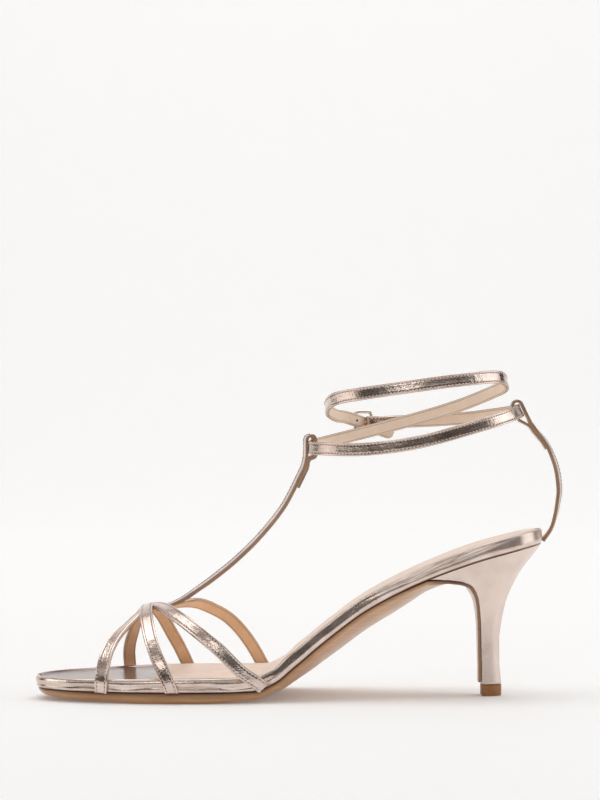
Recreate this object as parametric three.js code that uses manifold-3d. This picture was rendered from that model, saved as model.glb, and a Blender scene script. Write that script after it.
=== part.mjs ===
// Strappy heeled sandal, a right shoe, in millimetres.
// +X runs from toe to heel, -Y is the medial side, +Z is up and the floor is z = 0.
import * as THREE from 'three';
import * as BufferGeometryUtils from 'three/addons/utils/BufferGeometryUtils.js';
import Module from 'manifold-3d';

const wasm = await Module();
wasm.setup();

// Driving sizes of the sole
const toeTip = -117.8;
const soleLength = 226.6;
const ballWidth = 77.5;
const seatHeight = 68.9;
const forefootHeight = 5;
const soleTwist = 0.065;
const boardThickness = 6.2;
const randRound = 0.9;
const sockRecess = 0.9;
const sockThickness = 0.7;
const sockInset = 2.2;
const sockStartShare = 0.24;
const outsoleInset = 1.2;
const outsoleBevel = 1.1;
const waistCrown = 7;

// Driving sizes of the heel, whose stem stands ahead of the heel's back edge
const breastShare = 0.775;
const heelInset = 0.5;
const stemFrontSetback = 27.2;
const stemBackSetback = 19.3;
const stemWidth = 10.4;
const heelCentre = 0.8;
const topPieceHeight = 5;
const flapThickness = 1.3;

// Driving sizes of the straps
const strapWidth = 5.9;
const strapThickness = 1.8;
const foldThickness = 1.3;
const crossingLift = 1.1;
const endSlope = 0.7;
const endTurn = 0.7;
const tuckLength = 7;
const tuckThickness = 1.2;
const instepHeight = 107.3;
const ankleBackSetback = 9.8;
const ankleLength = 94.8;
const ankleWidth = 58;
const ankleHeight = 139.8;
const backWidth = 6.4;

// The loops at the ends of the T-strap and the back strap, which hold the ankle strap: half is
// half the loop's inner width, tall its height above the strap's end, leg the height at which its
// inner side leaves for the strap and lead how far below the end it lies on the strap
const frontLoopHalf = 2.05;
const frontLoopTall = 9.5;
const frontLoopSetback = 0.37;
const backLoopHalf = 2.15;
const backLoopTall = 11.4;
const frontLoopLeg = 1.2;
const frontLoopLead = 2.5;
const backLoopLeg = 3.4;
const backLoopLead = 0.5;
const loopDrop = 0.4;
const loopFoldBack = 14;
const foldSink = 0.1;

// Driving sizes of the buckle
const wireRadius = 0.75;
const barRadius = 0.8;
const buckleHeight = 9.8;
const buckleLength = 7.3;
const buckleCorner = 1.7;
const buckleRise = 1.2;
const prongRadius = 0.6;
const prongLead = 0.2;
const barAhead = 2.5;
const barAway = -0.75;
const foldBack = 11;

// The room that touching pieces keep
const gap = 0.3;

// Plan and height of the sole: at is a share of the sole's length from the toe, medial and lateral
// are shares of the ball width, rise is a share of the seat height above the forefoot, and board
// is a share of the footbed's thickness.
const soleRows = [
  { at: 0, medial: -0.103, lateral: -0.103, rise: 0.008, board: 0.82 },
  { at: 0.005, medial: -0.206, lateral: -0.013, rise: 0.007, board: 0.83 },
  { at: 0.02, medial: -0.29, lateral: 0.088, rise: 0.005, board: 0.84 },
  { at: 0.05, medial: -0.361, lateral: 0.19, rise: 0.003, board: 0.86 },
  { at: 0.1, medial: -0.428, lateral: 0.297, rise: 0, board: 0.89 },
  { at: 0.16, medial: -0.477, lateral: 0.383, rise: 0, board: 0.93 },
  { at: 0.23, medial: -0.511, lateral: 0.447, rise: 0, board: 0.97 },
  { at: 0.3, medial: -0.521, lateral: 0.48, rise: 0, board: 0.99 },
  { at: 0.37, medial: -0.504, lateral: 0.492, rise: 0, board: 1 },
  { at: 0.44, medial: -0.459, lateral: 0.478, rise: 0.005, board: 0.98 },
  { at: 0.48, medial: -0.427, lateral: 0.461, rise: 0.058, board: 0.95 },
  { at: 0.52, medial: -0.394, lateral: 0.443, rise: 0.171, board: 0.92 },
  { at: 0.58, medial: -0.347, lateral: 0.411, rise: 0.348, board: 0.9 },
  { at: 0.66, medial: -0.302, lateral: 0.373, rise: 0.554, board: 0.92 },
  { at: 0.76, medial: -0.284, lateral: 0.344, rise: 0.731, board: 1 },
  { at: 0.88, medial: -0.303, lateral: 0.329, rise: 0.888, board: 1.1 },
  { at: 0.94, medial: -0.284, lateral: 0.299, rise: 0.947, board: 1.1 },
  { at: 0.975, medial: -0.216, lateral: 0.226, rise: 0.979, board: 1.08 },
  { at: 0.992, medial: -0.129, lateral: 0.135, rise: 0.993, board: 1.06 },
  { at: 1, medial: 0, lateral: 0, rise: 1, board: 1.05 },
  { at: 1.03, medial: 0, lateral: 0, rise: 1.022, board: 1.05 },
];

// Underside of the outsole: thick is the edge's height as a share of the forefoot height and
// crown is the swell in the middle as a share of the waist's.
const outsoleRows = [
  { at: 0, thick: 0.36, crown: 0 },
  { at: 0.03, thick: 0.56, crown: 0 },
  { at: 0.1, thick: 0.72, crown: 0 },
  { at: 0.16, thick: 0.82, crown: 0 },
  { at: 0.215, thick: 0.94, crown: 0 },
  { at: 0.34, thick: 0.94, crown: 0 },
  { at: 0.4, thick: 0.78, crown: 0 },
  { at: 0.45, thick: 0.68, crown: 0.2 },
  { at: 0.5, thick: 0.6, crown: 0.55 },
  { at: 0.56, thick: 0.56, crown: 0.88 },
  { at: 0.62, thick: 0.52, crown: 1 },
  { at: 0.7, thick: 0.46, crown: 0.92 },
  { at: 0.775, thick: 0.38, crown: 0.5 },
];

// The heel block from its top down: up is the share of the height, and front, back and side are
// the shares of the way from the stem out to the seat.
const heelRows = [
  { up: 1, front: 1, back: 1, side: 1 },
  { up: 0.99, front: 0.62, back: 0.975, side: 0.965 },
  { up: 0.975, front: 0.4, back: 0.945, side: 0.92 },
  { up: 0.94, front: 0.24, back: 0.865, side: 0.81 },
  { up: 0.88, front: 0.145, back: 0.705, side: 0.62 },
  { up: 0.8, front: 0.075, back: 0.51, side: 0.41 },
  { up: 0.7, front: 0.04, back: 0.325, side: 0.235 },
  { up: 0.58, front: 0.02, back: 0.165, side: 0.11 },
  { up: 0.45, front: 0.012, back: 0.07, side: 0.04 },
  { up: 0.3, front: 0.006, back: 0.01, side: 0.005 },
  { up: 0.15, front: 0, back: 0.015, side: 0 },
  { up: 0, front: 0, back: 0.06, side: 0 },
];

// The ridge of the instep under the straps: height is a share of the instep's.
const instepRows = [
  { at: 0.09, height: 0.25 },
  { at: 0.135, height: 0.275 },
  { at: 0.17, height: 0.31 },
  { at: 0.215, height: 0.362 },
  { at: 0.265, height: 0.384 },
  { at: 0.293, height: 0.411 },
  { at: 0.343, height: 0.486 },
  { at: 0.394, height: 0.572 },
  { at: 0.445, height: 0.679 },
  { at: 0.5, height: 0.83 },
];

// Three vamp straps: at is a share of the sole's length, round goes from -1 at the medial edge
// of the sole over 0 on the ridge to 1 at the lateral edge, and lift is a share of the height by
// which one strap passes over another at the knot.
const vampStraps = {
  low: [
    { at: 0.136, round: -1, lift: 0 },
    { at: 0.1385, round: -0.81, lift: 0 },
    { at: 0.148, round: -0.543, lift: 0 },
    { at: 0.167, round: -0.33, lift: 0 },
    { at: 0.196, round: -0.17, lift: 0 },
    { at: 0.229, round: 0.02, lift: 0 },
    { at: 0.262, round: 0.16, lift: 0 },
    { at: 0.299, round: 0.318, lift: 0 },
    { at: 0.338, round: 0.529, lift: 0 },
    { at: 0.378, round: 0.698, lift: 0 },
    { at: 0.418, round: 0.872, lift: 0 },
    { at: 0.446, round: 1, lift: 0 },
  ],
  middle: [
    { at: 0.437, round: -1, lift: 0 },
    { at: 0.404, round: -0.935, lift: 0 },
    { at: 0.365, round: -0.802, lift: 0 },
    { at: 0.326, round: -0.64, lift: 0 },
    { at: 0.286, round: -0.41, lift: 0.3 },
    { at: 0.256, round: -0.19, lift: 1 },
    { at: 0.226, round: 0.03, lift: 1 },
    { at: 0.198, round: 0.31, lift: 0.5 },
    { at: 0.181, round: 0.55, lift: 0 },
    { at: 0.173, round: 0.76, lift: 0 },
    { at: 0.1745, round: 1, lift: 0 },
  ],
  high: [
    { at: 0.2675, round: -1, lift: 0 },
    { at: 0.256, round: -0.88, lift: 0 },
    { at: 0.2387, round: -0.7, lift: 0 },
    { at: 0.2268, round: -0.5, lift: 0.3 },
    { at: 0.2205, round: -0.28, lift: 1 },
    { at: 0.2195, round: -0.03, lift: 1.4 },
    { at: 0.2275, round: 0.2, lift: 1.3 },
    { at: 0.241, round: 0.4, lift: 0.6 },
    { at: 0.2577, round: 0.634, lift: 0 },
    { at: 0.2785, round: 0.852, lift: 0 },
    { at: 0.2935, round: 1, lift: 0 },
  ],
};

function smooth(rows, key, at, column) {
  // Cubic through the rows' values, with slopes that never overshoot a row.
  const last = rows.length - 1;
  const value = Math.min(Math.max(at, rows[0][key]), rows[last][key]);
  let i = 0;
  while (i < last - 1 && value > rows[i + 1][key]) i += 1;
  const rate = (k) => (rows[k + 1][column] - rows[k][column]) / (rows[k + 1][key] - rows[k][key]);
  const slope = (k) => {
    if (k === 0) return rate(0);
    if (k === last) return rate(last - 1);
    const before = rate(k - 1);
    const after = rate(k);
    return before * after <= 0 ? 0 : (2 * before * after) / (before + after);
  };
  const span = rows[i + 1][key] - rows[i][key];
  const t = (value - rows[i][key]) / span;
  const start = rows[i][column];
  const rise = rows[i + 1][column] - start;
  const bendA = slope(i) * span - rise;
  const bendB = rise - slope(i + 1) * span;
  return start + rise * t + t * (1 - t) * (bendA * (1 - t) + bendB * t);
}

function loft(rings) {
  // A skin over a row of closed rings of equal length. Each end is closed as a ladder, whose
  // rungs join a ring's first half to its second half.
  const count = rings[0].length;
  const index = [];
  const quad = (a, b, c, d) => index.push(a, b, c, a, c, d);
  for (let i = 0; i + 1 < rings.length; i += 1) {
    for (let j = 0; j < count; j += 1) {
      const k = (j + 1) % count;
      quad(i * count + j, i * count + k, (i + 1) * count + k, (i + 1) * count + j);
    }
  }
  const last = (rings.length - 1) * count;
  for (let j = 0; j + 1 < count / 2; j += 1) {
    quad(count - 1 - j, count - 2 - j, j + 1, j);
    quad(last + j, last + j + 1, last + count - 2 - j, last + count - 1 - j);
  }
  const geometry = new THREE.BufferGeometry();
  const places = rings.flat().flatMap((point) => [point.x, point.y, point.z]);
  geometry.setAttribute('position', new THREE.Float32BufferAttribute(places, 3));
  geometry.setIndex(index);
  return facingOut(geometry);
}

function facingOut(geometry) {
  // A closed skin with its faces turned so that its volume is positive.
  const place = geometry.getAttribute('position');
  const index = Array.from(geometry.getIndex().array);
  const corner = (k) => new THREE.Vector3().fromBufferAttribute(place, index[k]);
  let volume = 0;
  for (let k = 0; k < index.length; k += 3) {
    volume += corner(k).dot(corner(k + 1).cross(corner(k + 2)));
  }
  if (volume < 0) index.reverse();
  geometry.setIndex(index);
  return geometry;
}

function solidOf(geometry) {
  const bare = geometry.clone();
  bare.deleteAttribute('normal');
  bare.deleteAttribute('uv');
  const merged = BufferGeometryUtils.mergeVertices(bare, 1e-4);
  const mesh = new wasm.Mesh({
    numProp: 3,
    vertProperties: new Float32Array(merged.getAttribute('position').array),
    triVerts: new Uint32Array(merged.getIndex().array),
  });
  return new wasm.Manifold(mesh);
}

function geometryOf(solid) {
  const mesh = solid.getMesh();
  const geometry = new THREE.BufferGeometry();
  geometry.setAttribute('position', new THREE.Float32BufferAttribute(mesh.vertProperties, 3));
  geometry.setIndex(Array.from(mesh.triVerts));
  return geometry;
}

// Surfaces of the sole

const alongSole = (at) => toeTip + soleLength * at;
const shareOf = (x) => (x - toeTip) / soleLength;
const heelBack = alongSole(1);

function underside(x, y) {
  // Height of the footbed's underside: the medial side rises a little nearer the toe.
  const rise = smooth(soleRows, 'at', shareOf(x - soleTwist * y), 'rise');
  return forefootHeight + (seatHeight - forefootHeight) * rise;
}

function topside(x, y) {
  const step = 0.5;
  const slope = (underside(x + step, y) - underside(x - step, y)) / (2 * step);
  const board = boardThickness * smooth(soleRows, 'at', shareOf(x), 'board');
  return underside(x, y) + board * Math.hypot(1, slope);
}

function soleEdge(at, side) {
  // The plan outline is round at both ends because the rows are read by angle.
  const column = side < 0 ? 'medial' : 'lateral';
  return ballWidth * smooth(soleAngleRows, 'turn', turnOf(at), column);
}

const turnOf = (at) => Math.acos(1 - 2 * Math.min(Math.max(at, 0), 1));
const atTurn = (turn) => (1 - Math.cos(turn)) / 2;
const soleAngleRows = soleRows.filter((row) => row.at <= 1).map((row) => ({ ...row, turn: turnOf(row.at) }));

function edgePoint(turn, side, inset) {
  // A point of the outline, moved inwards by the inset, square to the outline.
  const step = 0.004;
  const place = (angle) => {
    const at = atTurn(angle);
    return new THREE.Vector2(alongSole(at), soleEdge(at, side));
  };
  const here = place(turn);
  const run = place(turn + step).sub(place(turn - step)).normalize();
  const inward = new THREE.Vector2(run.y, -run.x).multiplyScalar(side);
  return here.addScaledVector(inward, inset);
}

function soleTurns(from, to, count) {
  return Array.from({ length: count + 1 }, (_, i) => turnOf(from) + (turnOf(to) - turnOf(from)) * (i / count));
}

function rowAcross(medial, lateral, cells, height) {
  // Points from the medial to the lateral edge, each at the height of the given surface.
  return Array.from({ length: cells + 1 }, (_, j) => {
    const spot = medial.clone().lerp(lateral, j / cells);
    const share = (2 * j) / cells - 1;
    return new THREE.Vector3(spot.x, spot.y, height(spot.x, spot.y, share));
  });
}

const tipShare = 0.0006;
const endShare = 0.9994;

function makeInsole() {
  // The wrapped footbed: a rounded side all round and a shallow recess that holds the sock.
  const levels = [
    { inset: randRound, up: 0.04 },
    { inset: 0.2 * randRound, up: 0.24 },
    { inset: 0, up: 0.5 },
    { inset: 0.3 * randRound, up: 0.8 },
    { inset: randRound, up: 0.97 },
  ];
  const level = (turn, side, row) => {
    const spot = edgePoint(turn, side, row.inset);
    const low = underside(spot.x, spot.y);
    return new THREE.Vector3(spot.x, spot.y, low + (topside(spot.x, spot.y) - low) * row.up);
  };
  const floorLevel = (x, y) => topside(x, y) - sockRecess;
  const rings = soleTurns(tipShare, endShare, 40).map((turn) => {
    const low = (side) => edgePoint(turn, side, 2 * randRound);
    const high = (side) => edgePoint(turn, side, sockInset - gap);
    return [
      ...rowAcross(low(-1), low(1), 4, underside),
      ...levels.map((row) => level(turn, 1, row)),
      ...rowAcross(high(-1), high(1), 4, floorLevel).reverse(),
      ...levels.map((row) => level(turn, -1, row)).reverse(),
    ];
  });
  return loft(rings.map((ring) => turnedRing(ring, levels.length)));
}

function turnedRing(ring, levelCount) {
  // Starts the ring half way up its medial side, so that the end ladders run across the sole.
  const start = ring.length - Math.ceil(levelCount / 2);
  return [...ring.slice(start), ...ring.slice(0, start)];
}

function makeSock() {
  const bottom = (x, y) => topside(x, y) - sockRecess + gap;
  const top = (x, y) => bottom(x, y) + sockThickness;
  const rings = soleTurns(sockStartShare, 0.998, 26).map((turn) => {
    const edge = (side) => edgePoint(turn, side, sockInset);
    return [
      ...rowAcross(edge(-1), edge(1), 4, bottom),
      ...rowAcross(edge(-1), edge(1), 4, top).reverse(),
    ];
  });
  return loft(rings);
}

// Surfaces of the heel

function heelPoint(along, side, up) {
  // A point of the heel block: along runs from the breast at 0 to the back at 1, side is -1 on
  // the medial and 1 on the lateral side, and up runs from the lift at 0 to the seat at 1.
  const seatTurn = turnOf(breastShare) + (turnOf(endShare) - turnOf(breastShare)) * along;
  const seat = edgePoint(seatTurn, side, heelInset);
  const seatZ = underside(seat.x, seat.y) - gap;
  const round = Math.min(1, Math.max(0, (along - 0.3) / 0.7));
  const stemRound = (1 - Math.cos(0.5 * Math.PI * along)) ** 0.9;
  const stemX = heelBack - stemFrontSetback + (stemFrontSetback - stemBackSetback) * stemRound;
  const stemY = heelCentre + side * 0.5 * stemWidth * Math.sqrt(Math.max(0.004, 1 - round ** 2.2));
  const front = smooth(heelUpRows, 'up', up, 'front');
  const back = smooth(heelUpRows, 'up', up, 'back');
  const flareX = front + (back - front) * Math.min(1, along * 1.4) ** 0.8;
  const flareY = smooth(heelUpRows, 'up', up, 'side');
  const stemZ = topPieceHeight + gap;
  return new THREE.Vector3(
    stemX + (seat.x - stemX) * flareX,
    stemY + (seat.y - stemY) * flareY,
    stemZ + (seatZ - stemZ) * up,
  );
}

const heelUpRows = heelRows.slice().reverse();
const heelCells = 10;

function heelRing(up, height) {
  const half = (side) => Array.from({ length: heelCells + 1 }, (_, i) => {
    const point = heelPoint(i / heelCells, side, up);
    return height === undefined ? point : point.setZ(height);
  });
  return [...half(-1), ...half(1).reverse()];
}

function makeHeel() {
  const steps = heelRows.map((row) => row.up);
  return loft(steps.map((up) => heelRing(up)));
}

function makeTopPiece() {
  return loft([heelRing(0, topPieceHeight), heelRing(0, 0)]);
}

// The outsole runs from the toe to the breast and on down the breast as a flap

const outsoleCells = 8;

function outsoleUnder(x, y, share) {
  const at = shareOf(x);
  const edge = forefootHeight * smooth(outsoleRows, 'at', at, 'thick');
  const crown = waistCrown * smooth(outsoleRows, 'at', at, 'crown') * (1 - share * share);
  const low = underside(x, y) - gap - edge - crown;
  return Math.max(low, 0);
}

function outsoleRing(turn) {
  const edge = (side, inset) => edgePoint(turn, side, inset);
  const onTop = (x, y) => underside(x, y) - gap;
  const top = rowAcross(edge(-1, outsoleInset), edge(1, outsoleInset), outsoleCells, onTop);
  const inset = outsoleInset + outsoleBevel;
  const bottom = rowAcross(edge(-1, inset), edge(1, inset), outsoleCells, outsoleUnder);
  return [...top, ...bottom.reverse()];
}

function flapRing(up) {
  // Across the breast at one height: the inner row lies on the heel, the outer one is the face.
  const step = 0.004;
  const medial = heelPoint(0, -1, up);
  const lateral = heelPoint(0, 1, up);
  const ahead = heelPoint(0, -1, Math.min(1, up + step));
  const behind = heelPoint(0, -1, Math.max(0, up - step));
  const run = new THREE.Vector2(ahead.x - behind.x, ahead.z - behind.z).normalize();
  const out = new THREE.Vector3(-run.y, 0, run.x);
  if (out.x > 0 || out.z > 0) out.negate();
  const row = (depth) => Array.from({ length: outsoleCells + 1 }, (_, j) => (
    medial.clone().lerp(lateral, j / outsoleCells).addScaledVector(out, depth)));
  return [...row(gap), ...row(gap + flapThickness).reverse()];
}

function makeOutsole() {
  const sole = soleTurns(tipShare, breastShare - 0.006, 36).map(outsoleRing);
  const flap = [0.992, 0.985, 0.965, 0.94, 0.9, 0.84, 0.76, 0.64, 0.45, 0.25, 0.02].map(flapRing);
  return loft([...sole, ...flap]);
}

// Straps

const ankleCentre = heelBack - ankleBackSetback - 0.5 * ankleLength;

function ribbon(stations) {
  // A strip with blunt edges: each station has a place, an outward direction, a width and a
  // thickness. The breadth is square to that direction and, where skew is 0, square to the run.
  const rings = stations.map((station, i) => {
    const before = stations[Math.max(0, i - 1)].place;
    const after = stations[Math.min(stations.length - 1, i + 1)].place;
    const run = after.clone().sub(before).normalize();
    const across = run.clone().cross(station.out).normalize();
    const out = across.clone().cross(run).normalize();
    const w = station.width / 2;
    const t = station.thick / 2;
    const blunt = 0.4 * t;
    const corners = [[blunt - w, -t], [w - blunt, -t], [w, blunt - t], [w, t - blunt],
      [w - blunt, t], [blunt - w, t], [-w, t - blunt], [-w, blunt - t]];
    const breadth = across.clone().addScaledVector(run, station.skew ?? 0);
    return corners.map(([a, b]) => station.place.clone().addScaledVector(breadth, a).addScaledVector(out, b));
  });
  return loft(rings);
}

function footPoint(at, round, lift) {
  // The surface on which the straps' middle lies: half an ellipse over the sole at each section.
  const x = alongSole(at);
  const clear = gap + strapThickness / 2;
  const medial = soleEdge(at, -1) - clear;
  const lateral = soleEdge(at, 1) + clear;
  const middle = (medial + lateral) / 2;
  const ridge = instepHeight * smooth(instepRows, 'at', at, 'height');
  const base = topside(x, middle) - 0.35 * boardThickness;
  const angle = 0.5 * Math.PI * round;
  const point = new THREE.Vector3(
    x,
    middle + 0.5 * (lateral - medial) * Math.sin(angle),
    base + (ridge - base) * Math.cos(angle),
  );
  return lift ? point.addScaledVector(footOut(at, round), lift) : point;
}

function footOut(at, round) {
  const step = 0.002;
  const alongRun = footPoint(at + step, round, 0).sub(footPoint(at - step, round, 0));
  const roundRun = footPoint(at, round + step, 0).sub(footPoint(at, round - step, 0));
  return roundRun.cross(alongRun).normalize().negate();
}

function throughRows(rows, columns, count) {
  // Evenly many samples between the rows, each column on its own smooth curve.
  const curves = columns.map((column) => {
    const spots = rows.map((row, i) => ({ step: i, value: row[column] }));
    return (t) => smoothCurve(spots, t);
  });
  return Array.from({ length: count + 1 }, (_, i) => {
    const t = ((rows.length - 1) * i) / count;
    return Object.fromEntries(columns.map((column, k) => [column, curves[k](t)]));
  });
}

function smoothCurve(spots, t) {
  // Catmull-Rom through evenly spaced values.
  const last = spots.length - 1;
  const i = Math.min(Math.floor(t), last - 1);
  const u = t - i;
  const value = (k) => spots[Math.min(Math.max(k, 0), last)].value;
  const [a, b, c, d] = [value(i - 1), value(i), value(i + 1), value(i + 2)];
  const slopeB = (c - a) / 2;
  const slopeC = (d - b) / 2;
  const rise = c - b;
  return b + rise * u + u * (1 - u) * ((slopeB - rise) * (1 - u) + (rise - slopeC) * u);
}

function vampStrap(rows) {
  const stations = throughRows(rows, ['at', 'round', 'lift'], 32).map((row) => ({
    place: footPoint(row.at, row.round, row.lift * crossingLift),
    out: footOut(row.at, row.round),
    width: strapWidth,
    thick: strapThickness,
  }));
  const down = (end, inner, side) => {
    // The end keeps most of its slope over the footbed's side and is cut nearly along the sole.
    const run = end.place.clone().sub(inner.place).normalize();
    const out = end.out.clone().setZ(0).normalize();
    const reach = (-endSlope * run.x * (end.place.z - underside(end.place.x, end.place.y))) / run.z;
    const rest = tuckThickness / 2 + 0.5 * strapWidth * (1 - endTurn) * Math.abs(run.x);
    return [0.5, 1].map((share) => {
      const x = end.place.x + reach * share;
      const y = soleEdge(shareOf(x), side) + side * (gap + strapThickness / 2);
      const foot = underside(x, y) + rest;
      const place = new THREE.Vector3(x, y, end.place.z + (foot - end.place.z) * share);
      return { ...end, place, out, skew: (share * endTurn * run.x) / run.clone().cross(out).x };
    });
  };
  const last = stations.length - 1;
  const medial = down(stations[0], stations[1], -1).reverse();
  return [...medial, ...stations, ...down(stations[last], stations[last - 1], 1)];
}

function tuck(station, extra) {
  // The skived end of a strap that is cemented under the footbed's edge.
  const start = station.place;
  const step = 0.5;
  const rows = [0, 0.5, 1].map((share) => {
    const place = start.clone().addScaledVector(station.out, -(tuckLength + extra) * share);
    const slope = (underside(place.x + step, place.y) - underside(place.x - step, place.y)) / (2 * step);
    const out = new THREE.Vector3(-slope, 0, 1).normalize();
    place.z = underside(place.x, place.y) + tuckThickness / 2 + gap;
    return { place, out, width: strapWidth + 2 * extra, thick: tuckThickness + 2 * extra };
  });
  return ribbon(rows);
}

function planeStrip(points, count, width, twist) {
  // A strip in the shoe's middle plane, its breadth across the shoe, turned a little by twist.
  const curve = new THREE.CatmullRomCurve3(points.map(([x, z]) => new THREE.Vector3(x, 0, z)), false, 'centripetal');
  return Array.from({ length: count + 1 }, (_, i) => {
    const t = i / count;
    const place = curve.getPointAt(t);
    const run = curve.getTangentAt(t);
    const turned = twist * Math.sin(Math.PI * t);
    const out = new THREE.Vector3(-run.z, 0, run.x).applyAxisAngle(run, turned);
    return { place, out, width, thick: strapThickness };
  });
}

// The T-strap's side view: along is the share of the way from the knot to the ankle strap's front
// and height is a share of the instep's.
const knotShare = 0.2357;
const tStrapRows = [
  { along: 0, height: 0.362 },
  { along: 0.107, height: 0.384 },
  { along: 0.193, height: 0.411 },
  { along: 0.278, height: 0.448 },
  { along: 0.364, height: 0.486 },
  { along: 0.534, height: 0.572 },
  { along: 0.706, height: 0.679 },
  { along: 0.853, height: 0.796 },
  { along: 0.948, height: 0.909 },
  { along: 0.99, height: 0.967 },
  { along: 1, height: 1 },
];
const tStrapTwist = 0.2;

function loopedEnd(stem, { lean, toFoot, width, half, tall, leg, lead }) {
  // The strap's end folded round another strap: up the outer side, over, down the inner side and
  // back along its own inner face. The loop leans by an angle; toFoot is the foot's side along x.
  const end = stem[stem.length - 1].place;
  const up = new THREE.Vector3(Math.sin(lean), 0, Math.cos(lean));
  const inward = new THREE.Vector3(toFoot * Math.cos(lean), 0, -toFoot * Math.sin(lean));
  const spot = (across, above) => end.clone().addScaledVector(inward, across).addScaledVector(up, above);
  const steps = 8;
  const arc = Array.from({ length: steps + 1 }, (_, i) => {
    const angle = (Math.PI * i) / steps;
    return spot(half * (1 - Math.cos(angle)), tall - half + half * Math.sin(angle));
  });
  const middle = 0.5 * (tall - half);
  const offset = (strapThickness + foldThickness) / 2 - foldSink;
  const back = stem.slice().reverse().filter((station) => {
    const away = station.place.distanceTo(end);
    return away > lead && away < loopFoldBack;
  }).map((station) => {
    const side = Math.sign(station.out.dot(inward));
    const normal = new THREE.Vector3(station.out.x, 0, station.out.z).normalize();
    return station.place.clone().addScaledVector(normal, side * offset);
  });
  const path = [spot(0, -loopDrop), spot(0, middle), ...arc, spot(2 * half, middle), spot(2 * half, leg), ...back];
  return path.map((place, i) => {
    const run = path[Math.min(path.length - 1, i + 1)].clone().sub(path[Math.max(0, i - 1)]).normalize();
    return { place, out: new THREE.Vector3(-run.z, 0, run.x), width, thick: foldThickness };
  });
}

const union = (solids) => solids.reduce((sum, solid) => sum.add(solid));

function makeUpper() {
  const straps = Object.values(vampStraps).map(vampStrap);
  const tucks = straps.flatMap((stations) => [stations[0], stations[stations.length - 1]]);
  const knot = alongSole(knotShare);
  const loopFront = ankleCentre - 0.5 * ankleLength + frontLoopSetback - frontLoopHalf;
  const tPoints = tStrapRows.map((row) => [knot + (loopFront - knot) * row.along, instepHeight * row.height]);
  const stem = planeStrip(tPoints, 32, strapWidth, tStrapTwist);
  const loop = loopedEnd(stem, {
    lean: 0, toFoot: 1, width: strapWidth, half: frontLoopHalf, tall: frontLoopTall, leg: frontLoopLeg, lead: frontLoopLead,
  });
  const solids = [
    ...straps.map((stations) => solidOf(ribbon(stations))),
    ...tucks.map((station) => solidOf(tuck(station, 0))),
    solidOf(ribbon(stem)),
    solidOf(ribbon(loop)),
  ];
  return { solid: union(solids), tucks };
}

const { solid: upperSolid, tucks } = makeUpper();

// The back strap's side view as shares of its rise from its foot in the seat to its loop's foot on
// the ankle strap: behind is measured from the heel's back edge.
const backFootRise = 0.7;
const backLoopShare = 0.879;
const backRows = [
  { up: 0, behind: 0.005 },
  { up: 0.103, behind: 0.079 },
  { up: 0.213, behind: 0.115 },
  { up: 0.331, behind: 0.138 },
  { up: 0.418, behind: 0.148 },
  { up: 0.504, behind: 0.143 },
  { up: 0.609, behind: 0.126 },
  { up: 0.717, behind: 0.089 },
  { up: 0.827, behind: 0.037 },
  { up: 0.924, behind: -0.041 },
  { up: 1, behind: -0.098 },
];
const backLean = -0.44;
const backTwist = -0.25;

function makeBackStrap() {
  const foot = seatHeight + backFootRise;
  const rise = ankleHeight * backLoopShare - foot;
  const points = backRows.map((row) => [heelBack + row.behind * rise, foot + row.up * rise]);
  const stem = planeStrip(points, 26, backWidth, backTwist);
  const loop = loopedEnd(stem, {
    lean: backLean, toFoot: -1, width: backWidth, half: backLoopHalf, tall: backLoopTall, leg: backLoopLeg, lead: backLoopLead,
  });
  return union([solidOf(ribbon(stem)), solidOf(ribbon(loop))]);
}

// The ankle strap's two turns: turn is in right angles from the middle of the back, over the
// medial side at 1, the front at 2 and the lateral side at 3, reach is a share of the lower
// turn's oval, height a share of the ankle strap's, and lean tips its top inwards, in radians.
const ankleRows = [
  { turn: -1.22, reach: 1.035, height: 0.877, lean: 0 },
  { turn: -1, reach: 1.04, height: 0.881, lean: 0.05 },
  { turn: -0.67, reach: 1.03, height: 0.891, lean: 0.15 },
  { turn: -0.33, reach: 1.01, height: 0.908, lean: 0.3 },
  { turn: 0, reach: 1, height: 0.917, lean: 0.44 },
  { turn: 0.33, reach: 1, height: 0.899, lean: 0.3 },
  { turn: 0.67, reach: 1, height: 0.861, lean: 0.15 },
  { turn: 1, reach: 1, height: 0.817, lean: 0.05 },
  { turn: 1.33, reach: 1, height: 0.795, lean: 0 },
  { turn: 1.67, reach: 1, height: 0.795, lean: 0 },
  { turn: 2, reach: 1, height: 0.8, lean: 0 },
  { turn: 2.33, reach: 0.97, height: 0.813, lean: 0 },
  { turn: 2.67, reach: 0.91, height: 0.846, lean: 0.05 },
  { turn: 3, reach: 0.88, height: 0.886, lean: 0.1 },
  { turn: 3.33, reach: 0.88, height: 0.931, lean: 0.15 },
  { turn: 3.67, reach: 0.87, height: 0.976, lean: 0.2 },
  { turn: 4, reach: 0.867, height: 1, lean: 0.2 },
  { turn: 4.33, reach: 0.9, height: 1.023, lean: 0.15 },
  { turn: 4.67, reach: 0.94, height: 1.016, lean: 0.1 },
  { turn: 5, reach: 0.96, height: 0.996, lean: 0.05 },
  { turn: 5.33, reach: 0.93, height: 0.973, lean: 0 },
  { turn: 5.67, reach: 0.87, height: 0.954, lean: -0.05 },
  { turn: 6, reach: 0.835, height: 0.924, lean: -0.1 },
  { turn: 6.33, reach: 0.865, height: 0.893, lean: -0.05 },
];

// The tail's way through the buckle, in strap widths from the buckle end of the band: ahead is
// towards the toe, away is off the foot and high is up.
const tailRows = [
  { ahead: 2.55, away: -0.41, high: 0.4 },
  { ahead: 1.66, away: -0.3, high: 0.14 },
  { ahead: 1.05, away: 0.1, high: -0.04 },
  { ahead: 0.42, away: 0.52, high: -0.23 },
  { ahead: -0.17, away: 0.53, high: -0.43 },
  { ahead: -0.85, away: 0.45, high: -0.68 },
  { ahead: -1.45, away: 0.43, high: -0.92 },
];

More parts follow.
